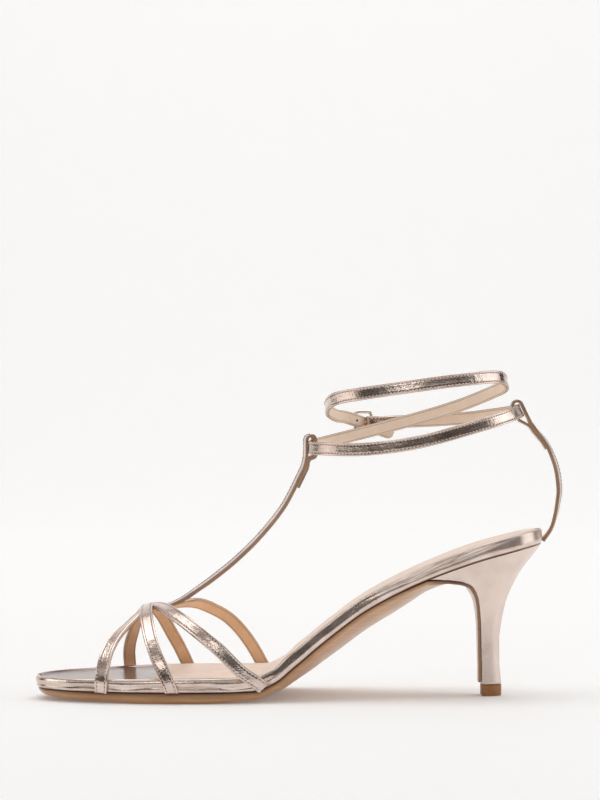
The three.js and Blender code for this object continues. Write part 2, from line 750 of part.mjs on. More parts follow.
function anklePoint(row) {
  const angle = 0.5 * Math.PI * row.turn;
  return new THREE.Vector3(
    ankleCentre + 0.5 * ankleLength * row.reach * Math.cos(angle),
    -0.5 * ankleWidth * row.reach * Math.sin(angle),
    ankleHeight * row.height,
  );
}

function leaning(run, lean) {
  // The outward direction of a band that stands upright, tipped by the lean.
  const flat = new THREE.Vector3(-run.y, run.x, 0).normalize();
  return flat.multiplyScalar(Math.cos(lean)).add(new THREE.Vector3(0, 0, Math.sin(lean)));
}

function buckleFrame() {
  // Where the buckle sits on the band: forward is towards the toe, out is away from the foot.
  const [first, second] = ankleRows;
  const origin = anklePoint(first);
  const forward = origin.clone().sub(anklePoint({ ...first, turn: first.turn + 0.02 })).normalize();
  const out = leaning(forward, second.lean);
  if (out.y < 0) out.negate();
  out.addScaledVector(forward, -out.dot(forward)).normalize();
  const up = forward.clone().cross(out).normalize();
  if (up.z < 0) up.negate();
  const spot = (ahead, away, high) => origin.clone()
    .addScaledVector(forward, ahead).addScaledVector(out, away).addScaledVector(up, high);
  return { forward, out, up, spot };
}

const bluntTip = 0.04;

function ankleStations(frame) {
  const turns = ankleRows.map((row) => ({ ...anklePoint(row), lean: row.lean }));
  const tail = tailRows.map((row) => {
    const place = frame.spot(row.ahead * strapWidth, row.away * strapWidth, row.high * strapWidth);
    return { x: place.x, y: place.y, z: place.z, lean: 0 };
  });
  const samples = throughRows([...turns, ...tail], ['x', 'y', 'z', 'lean'], 120);
  const places = samples.map((row) => new THREE.Vector3(row.x, row.y, row.z));
  const end = places[places.length - 1];
  return samples.map((row, i) => {
    const before = places[Math.max(0, i - 1)];
    const after = places[Math.min(places.length - 1, i + 1)];
    const run = after.clone().sub(before).normalize();
    const left = Math.min(places[i].distanceTo(end) / strapWidth + bluntTip, 0.5);
    const rounded = i > 0.9 * places.length ? Math.sqrt(1 - (1 - 2 * left) ** 2) : 1;
    return {
      place: places[i], out: leaning(run, row.lean), width: strapWidth * rounded, thick: strapThickness,
    };
  });
}

// The band's end on its way to the bar and back from it, in strap widths: ahead is from the band's
// end towards the toe and away is off the foot.
const foldRows = {
  before: [{ ahead: -0.68, away: 0.02 }, { ahead: -0.25, away: 0.03 }, { ahead: 0.14, away: 0.12 }],
  after: [{ ahead: 0.14, away: -0.38 }, { ahead: -0.25, away: -0.28 }],
};

function foldStations(frame) {
  // The band's end wraps the pivot bar and is stitched to the band's inner face.
  const radius = barRadius + gap + foldThickness / 2;
  const inside = foldSink - (strapThickness + foldThickness) / 2;
  const steps = 8;
  const arc = Array.from({ length: steps + 1 }, (_, i) => {
    const angle = Math.PI * (0.5 - i / steps);
    return [barAhead + radius * Math.cos(angle), barAway + radius * Math.sin(angle)];
  });
  const inWidths = (rows) => rows.map((row) => [row.ahead * strapWidth, row.away * strapWidth]);
  const seat = [[foldRows.before[0].ahead * strapWidth, inside], [-foldBack, inside]];
  const path = [...inWidths(foldRows.before), ...arc, ...inWidths(foldRows.after), ...seat];
  return path.map(([ahead, away], i) => {
    const next = path[Math.min(path.length - 1, i + 1)];
    const previous = path[Math.max(0, i - 1)];
    const run = new THREE.Vector2(next[0] - previous[0], next[1] - previous[1]).normalize();
    return {
      place: frame.spot(ahead, away, 0),
      out: frame.forward.clone().multiplyScalar(-run.y).addScaledVector(frame.out, run.x),
      width: strapWidth - 0.2,
      thick: foldThickness,
    };
  });
}

function rod(points, radius, sides, closed) {
  // A round wire along a path, closed on itself or with flat ends.
  const count = points.length;
  const rings = points.map((point, i) => {
    const after = closed ? points[(i + 1) % count] : points[Math.min(count - 1, i + 1)];
    const before = closed ? points[(i + count - 1) % count] : points[Math.max(0, i - 1)];
    const run = after.place.clone().sub(before.place).normalize();
    const a = run.clone().cross(point.up).normalize();
    const b = a.clone().cross(run).normalize();
    return Array.from({ length: sides }, (_, k) => {
      const angle = (2 * Math.PI * (k + 0.5)) / sides;
      return point.place.clone().addScaledVector(a, radius * Math.cos(angle))
        .addScaledVector(b, radius * Math.sin(angle));
    });
  });
  return closed ? closedLoft(rings) : loft(rings);
}

function closedLoft(rings) {
  const count = rings[0].length;
  const index = [];
  rings.forEach((_, i) => {
    const n = (i + 1) % rings.length;
    for (let j = 0; j < count; j += 1) {
      const k = (j + 1) % count;
      index.push(i * count + j, i * count + k, n * count + k);
      index.push(i * count + j, n * count + k, n * count + j);
    }
  });
  const geometry = new THREE.BufferGeometry();
  const places = rings.flat().flatMap((point) => [point.x, point.y, point.z]);
  geometry.setAttribute('position', new THREE.Float32BufferAttribute(places, 3));
  geometry.setIndex(index);
  return facingOut(geometry);
}

function makeBuckle(frame) {
  // A rounded oblong of wire whose rear bar carries the strap and the prong.
  const high = buckleHeight / 2 - buckleCorner;
  const near = barAhead + buckleCorner;
  const far = barAhead + buckleLength - buckleCorner;
  const corners = [[far, high, 0], [near, high, 1], [near, -high, 2], [far, -high, 3]];
  const steps = 4;
  const points = corners.flatMap(([x, z, quarter]) => Array.from({ length: steps + 1 }, (_, i) => {
    const angle = 0.5 * Math.PI * (quarter + i / steps);
    const ahead = x + buckleCorner * Math.cos(angle);
    const away = barAway + (buckleRise * (ahead - barAhead)) / buckleLength;
    return { place: frame.spot(ahead, away, z + buckleCorner * Math.sin(angle)), up: frame.out };
  }));
  return rod(points, wireRadius, 8, true);
}

// The prong's way from the bar to the frame's far side: along is a share of the way from its root
// to that side and up is a share of its rise from the bar's centre to the top of the frame's wire.
const prongRows = [
  { along: 0, up: 0.105 },
  { along: 0.39, up: 0.456 },
  { along: 0.72, up: 0.807 },
  { along: 0.95, up: 1 },
  { along: 1.183, up: 0.982 },
];

function prongPoints(frame) {
  const root = barAhead + barRadius + gap + prongLead;
  const rise = buckleRise + wireRadius + gap + prongRadius;
  return prongRows.map((row) => ({
    place: frame.spot(root + (barAhead + buckleLength - root) * row.along, barAway + rise * row.up, 0),
    up: frame.up,
  }));
}

const buckle = buckleFrame();
const ankle = ankleStations(buckle);
const prongRoom = solidOf(rod(prongPoints(buckle), prongRadius + gap, 8, false));

function makeAnkleStrap() {
  const band = solidOf(ribbon(ankle));
  const fold = solidOf(ribbon(foldStations(buckle)));
  return band.add(fold).subtract(prongRoom);
}

function meshOf(name, geometry, color, roughness, metalness) {
  const material = new THREE.MeshStandardMaterial({ color, roughness, metalness });
  const plain = geometry.index ? geometry.toNonIndexed() : geometry;
  plain.computeVertexNormals();
  const mesh = new THREE.Mesh(plain, material);
  mesh.name = name;
  return mesh;
}

const roseGold = 0xc9aca2;
const tan = 0xb08760;
const nude = 0xe6cfc0;
const brown = 0x8c603a;
const paleMetal = 0xd9d2c6;
const gold = 0xc9a66b;

const sandal = new THREE.Group();
const insoleSolid = tucks.reduce(
  (sum, station) => sum.subtract(solidOf(tuck(station, gap))),
  solidOf(makeInsole()),
);
sandal.add(
  meshOf('outsole', makeOutsole(), tan, 0.5, 0),
  meshOf('insole', geometryOf(insoleSolid), roseGold, 0.35, 0.7),
  meshOf('sock', makeSock(), nude, 0.6, 0),
  meshOf('heel', makeHeel(), roseGold, 0.4, 0.7),
  meshOf('top_piece', makeTopPiece(), brown, 0.6, 0),
  meshOf('upper', geometryOf(upperSolid), roseGold, 0.35, 0.7),
  meshOf('back_strap', geometryOf(makeBackStrap()), roseGold, 0.35, 0.7),
  meshOf('ankle_strap', geometryOf(makeAnkleStrap()), roseGold, 0.35, 0.7),
  meshOf('buckle_frame', makeBuckle(buckle), paleMetal, 0.2, 1),
  meshOf('buckle_prong', rod(prongPoints(buckle), prongRadius, 8, false), gold, 0.25, 1),
);

// The origin is on the floor under the middle of the whole shoe
const middle = new THREE.Box3().setFromObject(sandal).getCenter(new THREE.Vector3());
sandal.position.set(-middle.x, -middle.y, 0);

export default sandal;
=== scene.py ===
import math

import bpy
import numpy as np
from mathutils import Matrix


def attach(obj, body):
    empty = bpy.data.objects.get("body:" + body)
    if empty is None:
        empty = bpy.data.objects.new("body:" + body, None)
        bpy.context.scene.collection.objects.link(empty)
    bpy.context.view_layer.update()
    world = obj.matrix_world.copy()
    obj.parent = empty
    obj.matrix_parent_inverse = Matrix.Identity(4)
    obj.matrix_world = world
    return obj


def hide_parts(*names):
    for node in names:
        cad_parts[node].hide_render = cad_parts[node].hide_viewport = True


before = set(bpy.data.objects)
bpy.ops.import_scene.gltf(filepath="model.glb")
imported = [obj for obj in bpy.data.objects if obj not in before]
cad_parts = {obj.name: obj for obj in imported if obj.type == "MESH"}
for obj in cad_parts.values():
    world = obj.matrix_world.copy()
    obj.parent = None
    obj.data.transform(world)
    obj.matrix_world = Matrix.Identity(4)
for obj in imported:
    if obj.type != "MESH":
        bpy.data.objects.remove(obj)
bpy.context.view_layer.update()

mm = 0.001

# Studio: a pale sheet that runs up into a backdrop behind the shoe, one wide soft lamp overhead,
# a dim room in front of the sheet, and the long level view from the medial side.
shoe_shift = np.array([-0.293, 1.461, 0.0]) * mm
eye_distance = 1300 * mm
eye_height = 132.9 * mm
picture_height = 360 * mm
sensor = 36
room_strength = 0.5
room_level = (0.3, 0.27, 0.24)
room_dark = (0.035, 0.022, 0.015)
room_light = (1.0, 0.98, 0.96)
room_beam = (0.25, 0.21, 0.18)
# The room's colours from the horizon, at 0, to straight overhead, at 1.
room_bands = [(0.0, room_level), (0.04, room_dark), (0.34, room_dark), (0.48, room_light),
              (0.68, room_light), (0.76, room_beam), (0.88, room_light)]
sheet_white = (0.9, 0.9, 0.9)
sheet_glow_color = (0.99, 0.995, 1)
sheet_glow_near, sheet_glow_far = 0.115, 0.37
sheet_near, sheet_far = 0.3, 3.16


def put_mesh(name, points, blocks, material):
    """A smooth mesh object at the origin from an array of points and blocks of faces."""
    faces = [face for block in blocks for face in block.tolist()]
    mesh = bpy.data.meshes.new(name)
    mesh.from_pydata(points.reshape(-1, 3).tolist(), [], faces)
    mesh.polygons.foreach_set("use_smooth", np.full(len(faces), True))
    mesh.materials.append(material)
    piece = bpy.data.objects.new(name, mesh)
    bpy.context.scene.collection.objects.link(piece)
    return piece


def grid_faces(rows, columns, around=False):
    """Quads between neighbouring points of a grid, joined round in its second direction if asked."""
    i, j = np.meshgrid(np.arange(rows - 1), np.arange(columns if around else columns - 1), indexing="ij")
    k = (j + 1) % columns
    quads = np.stack([i * columns + j, i * columns + k, (i + 1) * columns + k, (i + 1) * columns + j], -1)
    return quads.reshape(-1, 4)


def new_material(name, color, roughness, metallic=0.0, coat=0.0):
    """A material with its constant values on the shader's own sockets, its tree and its shader."""
    material = bpy.data.materials.new(name)
    material.use_nodes = True
    tree = material.node_tree
    shader = tree.nodes["Principled BSDF"]
    shader.inputs["Base Color"].default_value = (*color, 1)
    shader.inputs["Roughness"].default_value = roughness
    shader.inputs["Metallic"].default_value = metallic
    shader.inputs["Coat Weight"].default_value = coat
    return material, tree, shader


def node_of(tree, kind, links=(), **values):
    """A node of the given kind with its values set by name and its inputs linked by name."""
    node = tree.nodes.new("ShaderNode" + kind)
    for key, value in values.items():
        if hasattr(node, key):
            setattr(node, key, value)
        else:
            node.inputs[key.replace("_", " ").title()].default_value = value
    for socket, source in dict(links).items():
        tree.links.new(source, node.inputs[socket])
    return node


def backdrop_sheet():
    """A long sheet: flat from in front of the shoe to behind it, then a quarter turn up."""
    front, back, turn, top, half = -0.95, 1.6, 0.9, 3.0, 3.2
    angle = np.linspace(0, math.pi / 2, 17)
    flat = np.linspace(front, back, 12)[:-1]
    y = np.concatenate([flat, back + turn * np.sin(angle), [back + turn]])
    z = np.concatenate([np.zeros(len(flat)), turn - turn * np.cos(angle), [top]])
    x = np.linspace(-half, half, 9)
    points = np.stack(np.broadcast_arrays(x[None, :], y[:, None], z[:, None]), -1)
    return points, [grid_faces(len(y), len(x))]


sheet_paint, sheet_tree, sheet_shader = new_material("sheet_paint", sheet_white, 0.75)
sheet_shader.inputs["Specular IOR Level"].default_value = 0.1
sheet_shader.inputs["Emission Color"].default_value = (*sheet_glow_color, 1)
sheet_spot = node_of(sheet_tree, "TexCoord").outputs["Object"]
sheet_place = node_of(sheet_tree, "SeparateXYZ", {"Vector": sheet_spot})
sheet_run = node_of(sheet_tree, "Math", {0: sheet_place.outputs["Y"], 1: sheet_place.outputs["Z"]})
sheet_glow = node_of(sheet_tree, "MapRange", {"Value": sheet_run.outputs["Value"]}, From_Min=sheet_near,
                     From_Max=sheet_far, To_Min=sheet_glow_near, To_Max=sheet_glow_far)
sheet_tree.links.new(sheet_glow.outputs["Result"], sheet_shader.inputs["Emission Strength"])
floor = put_mesh("floor", *backdrop_sheet(), sheet_paint)

camera_data = bpy.data.cameras.new("camera")
camera_data.sensor_width = sensor
camera_data.lens = sensor * eye_distance / picture_height
camera = bpy.data.objects.new("camera", camera_data)
camera.location = (shoe_shift[0], shoe_shift[1] - eye_distance, eye_height)
camera.rotation_euler = (math.pi / 2, 0, 0)
bpy.context.scene.collection.objects.link(camera)
bpy.context.scene.camera = camera


def soft_lamp(name, place, aim, size, power, color=(1, 1, 1)):
    """A square lamp that faces a point."""
    data = bpy.data.lights.new(name, "AREA")
    data.shape = "RECTANGLE"
    data.size, data.size_y = size
    data.energy = power
    data.color = color
    lamp = bpy.data.objects.new(name, data)
    lamp.location = place
    away = np.array(place) - np.array(aim)
    flat = math.hypot(away[0], away[1])
    turn = math.atan2(away[0], -away[1]) if flat > 1e-6 else 0
    lamp.rotation_euler = (math.atan2(flat, away[2]), 0, turn)
    bpy.context.scene.collection.objects.link(lamp)


soft_lamp("overhead", (0.0, 0.3, 2.3), (0, 0.1, 0), (2.6, 2.0), 27)
soft_lamp("left_side", (-1.5, -0.2, 0.55), (0, 0, 0.08), (0.9, 1.0), 4, (1, 0.96, 0.92))
soft_lamp("right_side", (1.5, -0.15, 0.55), (0, 0, 0.08), (1.1, 1.0), 5)
soft_lamp("front", (-0.4, -2.0, 1.25), (0, 0, 0.08), (0.9, 0.6), 2.5, (1, 0.97, 0.94))

world = bpy.data.worlds.new("room")
world.use_nodes = True
bpy.context.scene.world = world
room = world.node_tree
room_way = node_of(room, "TexCoord")
room_split = node_of(room, "SeparateXYZ", {"Vector": room_way.outputs["Generated"]})
room_ramp = node_of(room, "ValToRGB", {"Fac": room_split.outputs["Z"]})
ramp = room_ramp.color_ramp
ramp.elements.remove(ramp.elements[1])
ramp.elements[0].position, ramp.elements[0].color = room_bands[0][0], (*room_bands[0][1], 1)
for band_height, band_color in room_bands[1:]:
    ramp.elements.new(band_height).color = (*band_color, 1)
room.links.new(room_ramp.outputs["Color"], room.nodes["Background"].inputs["Color"])
room.nodes["Background"].inputs["Strength"].default_value = room_strength
bpy.context.scene.view_settings.view_transform = "Standard"

# Footbed: a padded board under the whole foot, its side wrapped in foiled leather that is pulled
# over the edge, puffs between the straps and creases under the heel seat.
toe_tip = -117.8 * mm
sole_length = 226.6 * mm
ball_width = 77.5 * mm
seat_height = 68.9 * mm
forefoot_height = 5 * mm
sole_twist = 0.065
board_thickness = 6.2 * mm
rand_round = 0.9 * mm
sock_recess = 0.9 * mm
sock_inset = 2.2 * mm
gap = 0.3 * mm
first_at, last_at = 0.0006, 0.9994
# Rows along the sole, as shares of its length: both edges in ball widths from the middle, the rise
# from the forefoot to the seat, and the board's thickness.
sole_rows = {
    "at": [0, 0.005, 0.02, 0.05, 0.1, 0.16, 0.23, 0.3, 0.37, 0.44, 0.48, 0.52, 0.58, 0.66, 0.76, 0.88,
           0.94, 0.975, 0.992, 1, 1.03],
    "medial": [-0.103, -0.206, -0.29, -0.361, -0.428, -0.477, -0.511, -0.521, -0.504, -0.459, -0.427,
               -0.394, -0.347, -0.302, -0.284, -0.303, -0.284, -0.216, -0.129, 0, 0],
    "lateral": [-0.103, -0.013, 0.088, 0.19, 0.297, 0.383, 0.447, 0.48, 0.492, 0.478, 0.461, 0.443,
                0.411, 0.373, 0.344, 0.329, 0.299, 0.226, 0.135, 0, 0],
    "rise": [0.008, 0.007, 0.005, 0.003, 0, 0, 0, 0, 0, 0.005, 0.058, 0.171, 0.348, 0.554, 0.731, 0.888,
             0.947, 0.979, 0.993, 1, 1.022],
    "board": [0.82, 0.83, 0.84, 0.86, 0.89, 0.93, 0.97, 0.99, 1, 0.98, 0.95, 0.92, 0.9, 0.92, 1, 1.1,
              1.1, 1.08, 1.06, 1.05, 1.05],
}
foil_color = (0.85, 0.72, 0.65)
foil_shade = (0.62, 0.49, 0.425)
# Dark brown for dyed edges, also used as painted shade in the straps' thread grooves.
foil_dye_and_shade = (0.29, 0.155, 0.075)
foil_metal = 0.92
# The bed's darker foil, also laid along the wrap's top edge as a painted shadow line.
bed_foil_and_lip_shadow = (0.33, 0.25, 0.23)
patch_scale, crease_scale, grain_scale, pore_scale = 95, 260, 1300, 1500
wrap_steps = 620
wall_points = 30
under_cells, top_cells = 6, 12
lip_insets = np.array([1.25, 1.6, 1.9]) * mm
lip_drops = np.array([0.1, 0.35, 0.7]) * sock_recess
dye_from, dye_run = 0.68, 0.06


def eased(places, values, x):
    """Cubic through a table's values; the slope at a row is the harmonic mean of the chords on
    both sides, or level at a peak, so that the curve never overshoots a row."""
    places = np.asarray(places, float)
    values = np.asarray(values, float)
    x = np.clip(x, places[0], places[-1])
    chord = np.diff(values) / np.diff(places)
    before, after = chord[:-1], chord[1:]
    total = np.where(before * after > 0, before + after, 1)
    inner = np.where(before * after > 0, 2 * before * after / total, 0)
    slope = np.concatenate([chord[:1], inner, chord[-1:]])
    i = np.clip(np.searchsorted(places, x, side="left") - 1, 0, len(places) - 2)
    span = places[i + 1] - places[i]
    t = (x - places[i]) / span
    rise = values[i + 1] - values[i]
    return values[i] + rise * t + t * (1 - t) * (
        (slope[i] * span - rise) * (1 - t) + (rise - slope[i + 1] * span) * t)


def share_of(x):
    """Share of the sole's length from the toe at a place along the shoe."""
    return (x - toe_tip) / sole_length


def underside(x, y):
    """Height of the footbed's underside: the table's rise, a little nearer the toe medially."""
    rise = eased(sole_rows["at"], sole_rows["rise"], share_of(x - sole_twist * y))
    return forefoot_height + (seat_height - forefoot_height) * rise


def topside(x, y):
    """Height of the footbed's top: the underside plus the board's thickness square to it."""
    step = 0.5 * mm
    slope = (underside(x + step, y) - underside(x - step, y)) / (2 * step)
    board = board_thickness * eased(sole_rows["at"], sole_rows["board"], share_of(x))
    return underside(x, y) + board * np.hypot(1, slope)


def turn_of(at):
    """The angle on a half circle over the sole's length at a share of that length."""
    return np.arccos(1 - 2 * np.clip(at, 0, 1))


def sole_edge(at, side):
    """Half breadth of the sole, read by angle so that both ends are round."""
    rows = np.array(sole_rows["at"][:-1])
    column = "medial" if side < 0 else "lateral"
    return ball_width * eased(turn_of(rows), sole_rows[column][:-1], turn_of(at))


def edge_point(turn, side, inset):
    """A point of the plan outline, moved inwards square to the outline."""
    step = 0.004

    def place(angle):
        at = (1 - np.cos(angle)) / 2
        return np.stack([toe_tip + sole_length * at, sole_edge(at, side)], -1)

    run = place(turn + step) - place(turn - step)
    run = run / np.linalg.norm(run, axis=-1, keepdims=True)
    inward = np.stack([run[..., 1], -run[..., 0]], -1) * side
    return place(turn) + inward * np.asarray(inset)[..., None]


def plan_rows(turn, inset, cells):
    """Straight rows across the sole, from the medial outline to the lateral, both moved inwards."""
    medial, lateral = (edge_point(turn, side, np.full(len(turn), inset)) for side in (-1, 1))
    t = np.linspace(0, 1, cells + 1)[None, :, None]
    return medial[:, None] * (1 - t) + lateral[:, None] * t


def soft_bump(x, middle, width):
    """A bell of height one."""
    return np.exp(-((x - middle) / width) ** 2)


# The wrap's folds along each side: where each lies along the sole, how long it is, where it sits
# between the underside at 0 and the top at 1, its slant and how deep it is in millimetres.
rand_folds = [
    (0.2, 0.05, 0.42, 0.9, 0.22), (0.285, 0.045, 0.36, -0.4, 0.3), (0.37, 0.05, 0.4, 0.8, 0.26),
    (0.7, 0.05, 0.6, -1.2, 0.16), (0.79, 0.045, 0.62, 1.5, 0.36), (0.86, 0.05, 0.66, 1.2, 0.34),
    (0.1, 0.06, 0.45, -0.6, 0.16),
]
fold_slope = 2.2
fold_breadth = 0.075
fold_lip_above, fold_lip_breadth, fold_lip_share = 0.15, 0.09, 0.45
lateral_fold_shift = 0.012
# Rolls along the wrap, by the toes and from the waist on: how far each stands out in millimetres,
# its level, how far it follows the sway, and its breadth.
toe_rolls = [(0.4, 0.68, 0.4, 0.24), (0.1, 0.14, 0, 0.14), (-0.2, 0.34, 1, 0.09)]
waist_rolls = [(0.52, 0.28, 0.5, 0.34)]
waist_from, waist_to = 0.4, 0.5
toe_fade, seat_fade = 0.0012, 0.01


def rand_puff(at, up, side):
    """How far the wrap stands out: by the toes a roll along the top over a shallow valley that
    wanders, from the waist on one broad swell that leans back above its middle, and the folds as
    slanted troughs with a raised lip."""
    sway = 0.07 * np.sin(31 * at + 1.1 * side) + 0.05 * np.sin(57 * at + 2.0 + side)

    def rolled(rolls):
        return sum(out * soft_bump(up, level + follow * sway, breadth)
                   for out, level, follow, breadth in rolls)

    share = np.clip((at - waist_from) / (waist_to - waist_from), 0, 1)
    share = share * share * (3 - 2 * share)
    puff = rolled(toe_rolls) * (1 - share) + rolled(waist_rolls) * share
    for middle, length, level, slant, depth in rand_folds:
        near = depth * soft_bump(at, middle + lateral_fold_shift * (side > 0), length)
        line = level + slant * (at - middle) * fold_slope
        lip = soft_bump(up, line + fold_lip_above, fold_lip_breadth)
        puff = puff + near * (fold_lip_share * lip - soft_bump(up, line, fold_breadth))
    return puff * mm


def footbed_rings(count=wrap_steps):
    """Rings across the sole at even angles along it: underside, wrapped side, top and back."""
    turn = np.linspace(float(turn_of(first_at)), float(turn_of(last_at)), count)
    at = (1 - np.cos(turn)) / 2
    up = np.linspace(0.03, 0.97, wall_points)
    round_in = rand_round * (1 - np.sqrt(np.clip(1 - (2 * np.abs(up - 0.5)) ** 3.2, 0, 1)))

    def side_wall(side):
        puff = rand_puff(at[:, None], up[None, :], side)
        fade = np.clip(np.minimum(at / toe_fade, (1 - at) / seat_fade), 0, 1)[:, None]
        spot = edge_point(turn[:, None], side, round_in[None, :] - puff * fade)
        low = underside(spot[..., 0], spot[..., 1])
        high = topside(spot[..., 0], spot[..., 1])
        return np.concatenate([spot, (low + (high - low) * up)[..., None]], -1)

    def across(inset, height, cells):
        spot = plan_rows(turn, inset, cells)
        return np.concatenate([spot, height(spot[..., 0], spot[..., 1])[..., None]], -1)

    def lip(side):
        spot = edge_point(turn[:, None], side, lip_insets[None, :])
        level = topside(spot[..., 0], spot[..., 1]) - lip_drops
        return np.concatenate([spot, level[..., None]], -1)

    def bed_level(x, y):
        return topside(x, y) - sock_recess

    return np.concatenate([
        across(1.7 * rand_round, underside, under_cells), side_wall(1), lip(1),
        across(2.1 * mm, bed_level, top_cells)[:, ::-1], lip(-1)[:, ::-1], side_wall(-1)[:, ::-1],
    ], 1)


def closed_mesh(name, points, blocks, material):
    """A closed mesh from blocks of faces. Its faces are turned round where the volume under their
    first three corners comes out negative."""
    piece = put_mesh(name, points, blocks, material)
    corners = points[np.concatenate([block[:, :3] for block in blocks])]
    volume = np.einsum("ij,ij->i", corners[:, 0], np.cross(corners[:, 1], corners[:, 2])).sum()
    if volume < 0:
        piece.data.flip_normals()
    return piece


def skin(name, rings, material):
    """A closed skin over rings: quads along it and a fan to the middle of each end ring."""
    count, around = rings.shape[:2]
    ends = np.stack([rings[0].mean(0), rings[-1].mean(0)])
    points = np.concatenate([rings.reshape(-1, 3), ends]) + shoe_shift
    j = np.arange(around)
    k = (j + 1) % around
    last = (count - 1) * around
    first_fan = np.stack([k, j, np.full(around, count * around)], -1)
    last_fan = np.stack([last + j, last + k, np.full(around, count * around + 1)], -1)
    return closed_mesh(name, points, [grid_faces(count, around, True), first_fan, last_fan], material)


def paint(piece, values, name="stain_and_shade"):
    """Keeps one number for each point, by which its material is darkened: dye, and in places painted shade.
    """
    layer = piece.data.attributes.new(name, "FLOAT", "POINT")
    layer.data.foreach_set("value", values.ravel().astype(np.float32))


def dyed_and_shaded(tree, color, dye, name):
    """The colour, mixed towards a dark colour as far as the piece's attribute says, and the attribute
    itself; the dark colour is dye, and in places painted shade.
    """
    layer = node_of(tree, "Attribute", attribute_name=name)
    mixed = node_of(tree, "Mix", data_type="RGBA")
    tree.links.new(layer.outputs["Fac"], mixed.inputs[0])
    tree.links.new(color, mixed.inputs[6])
    mixed.inputs[7].default_value = (*dye, 1)
    return mixed.outputs[2], layer.outputs["Fac"]


def stained_and_shaded(tree, shader, color, dye, metallic=0.0):
    """Puts a colour on the shader that turns to a plain dark colour, without foil, where the piece's
    attribute says: dye, and in places painted shade.
    """
    mixed, stain_and_shade = dyed_and_shaded(tree, color, dye, "stain_and_shade")
    tree.links.new(mixed, shader.inputs["Base Color"])
    if metallic:
        foil = node_of(tree, "MapRange", {"Value": stain_and_shade}, To_Min=metallic, To_Max=0.0)
        tree.links.new(foil.outputs["Result"], shader.inputs["Metallic"])


def two_tone(tree, value, low, shade, high, color):
    """A ramp from a shade, up to the low value, to a colour from the high value on."""
    tone = node_of(tree, "ValToRGB", {"Fac": value})
    tone.color_ramp.elements[0].position, tone.color_ramp.elements[0].color = low, (*shade, 1)
    tone.color_ramp.elements[1].position, tone.color_ramp.elements[1].color = high, (*color, 1)
    return tone.outputs["Color"]


def bumped(tree, height, distance, under=None):
    """A bump of the given depth in metres, on top of another bump's normal if one is given."""
    links = {"Height": height} if under is None else {"Height": height, "Normal": under}
    return node_of(tree, "Bump", links, Strength=1.0, Distance=distance).outputs["Normal"]


def foiled_leather(name, roughness, crease, grain, patchy=1.0, dull=0.0):
    """Foil on fine leather: soft creases under a pebbled grain and fine pores, foil that is duller
    in patches and by the dull value towards the heel, and two attributes: one turns it to the darker
    bed foil, which along the wrap's top edge is a painted shadow line, and one turns it to plain
    dye, which in the straps' thread grooves is painted shade."""
    material, tree, shader = new_material(name, foil_color, roughness, foil_metal)
    place = node_of(tree, "TexCoord").outputs["Object"]
    patch = node_of(tree, "TexNoise", {"Vector": place}, Scale=patch_scale, Detail=3).outputs["Fac"]
    shade = np.array(foil_color) + patchy * (np.array(foil_shade) - np.array(foil_color))
    tone = two_tone(tree, patch, 0.3, shade, 0.62, foil_color)
    stained_and_shaded(tree, shader, dyed_and_shaded(tree, tone, bed_foil_and_lip_shadow, "bed")[0], foil_dye_and_shade, foil_metal)
    gloss = node_of(tree, "MapRange", {"Value": patch}, To_Min=roughness - 0.05, To_Max=roughness + 0.1)
    split = node_of(tree, "SeparateXYZ", {"Vector": place})
    worn = node_of(tree, "MapRange", {"Value": split.outputs["X"]}, From_Min=0.0, From_Max=60 * mm,
                   To_Min=0.0, To_Max=dull)
    rough = node_of(tree, "Math", {0: gloss.outputs["Result"], 1: worn.outputs["Result"]})
    tree.links.new(rough.outputs["Value"], shader.inputs["Roughness"])
    soft = node_of(tree, "TexNoise", {"Vector": place}, Scale=crease_scale, Detail=2)
    fine = node_of(tree, "TexVoronoi", {"Vector": place}, Scale=grain_scale)
    pores = node_of(tree, "TexNoise", {"Vector": place}, Scale=pore_scale, Detail=4)
    normal = bumped(tree, soft.outputs["Fac"], crease * mm)
    normal = bumped(tree, fine.outputs["Distance"], grain * mm, normal)
    normal = bumped(tree, pores.outputs["Fac"], grain * mm, normal)
    tree.links.new(normal, shader.inputs["Normal"])
    return material


wrap_leather = foiled_leather("wrap_leather", 0.2, 0.05, 0.03, 1.0, 0.1)
wrap_rings = footbed_rings()
footbed = skin("footbed_wrap", wrap_rings, wrap_leather)
# Painted shadow: the lip along the wrap's top edge takes the bed's darker foil as the line of shade between
# bed and wrap; the bed's top takes that darker foil as well.
lip_shadow = np.array([0.6, 1, 1])
bed_and_lip_shadow_columns = np.concatenate([np.zeros(under_cells + 1 + wall_points), lip_shadow, np.ones(top_cells + 1),
                              lip_shadow[::-1], np.zeros(wall_points)])
paint(footbed, np.append(np.tile(bed_and_lip_shadow_columns, wrap_steps), [0, 0]), "bed")
wall_dye = np.clip(2.2 - np.arange(wall_points), 0, 1)
top_columns = 2 * len(lip_shadow) + top_cells + 1
dye_columns = np.concatenate([np.ones(under_cells + 1), wall_dye, np.zeros(top_columns), wall_dye[::-1]])
dye_along = np.clip((share_of(wrap_rings[:, 0, 0]) - dye_from) / dye_run, 0, 1)
paint(footbed, np.append(dye_along[:, None] * dye_columns, [0, 0]))
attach(footbed, "root")
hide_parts("insole")

# Sock: a thin sheet of nude lining leather, cemented on the footbed from the ball to the heel,
# with a bevelled edge and a straight front edge.
sock_thickness = 0.7 * mm
sock_start = 0.24
sock_color = (0.98, 0.82, 0.71)
sock_shade = (0.91, 0.74, 0.63)
lining_brown = (0.16, 0.07, 0.03)
sock_dish = 0.25 * mm
lining_wrinkles, lining_pores = 420, 1900
sock_cells = 24


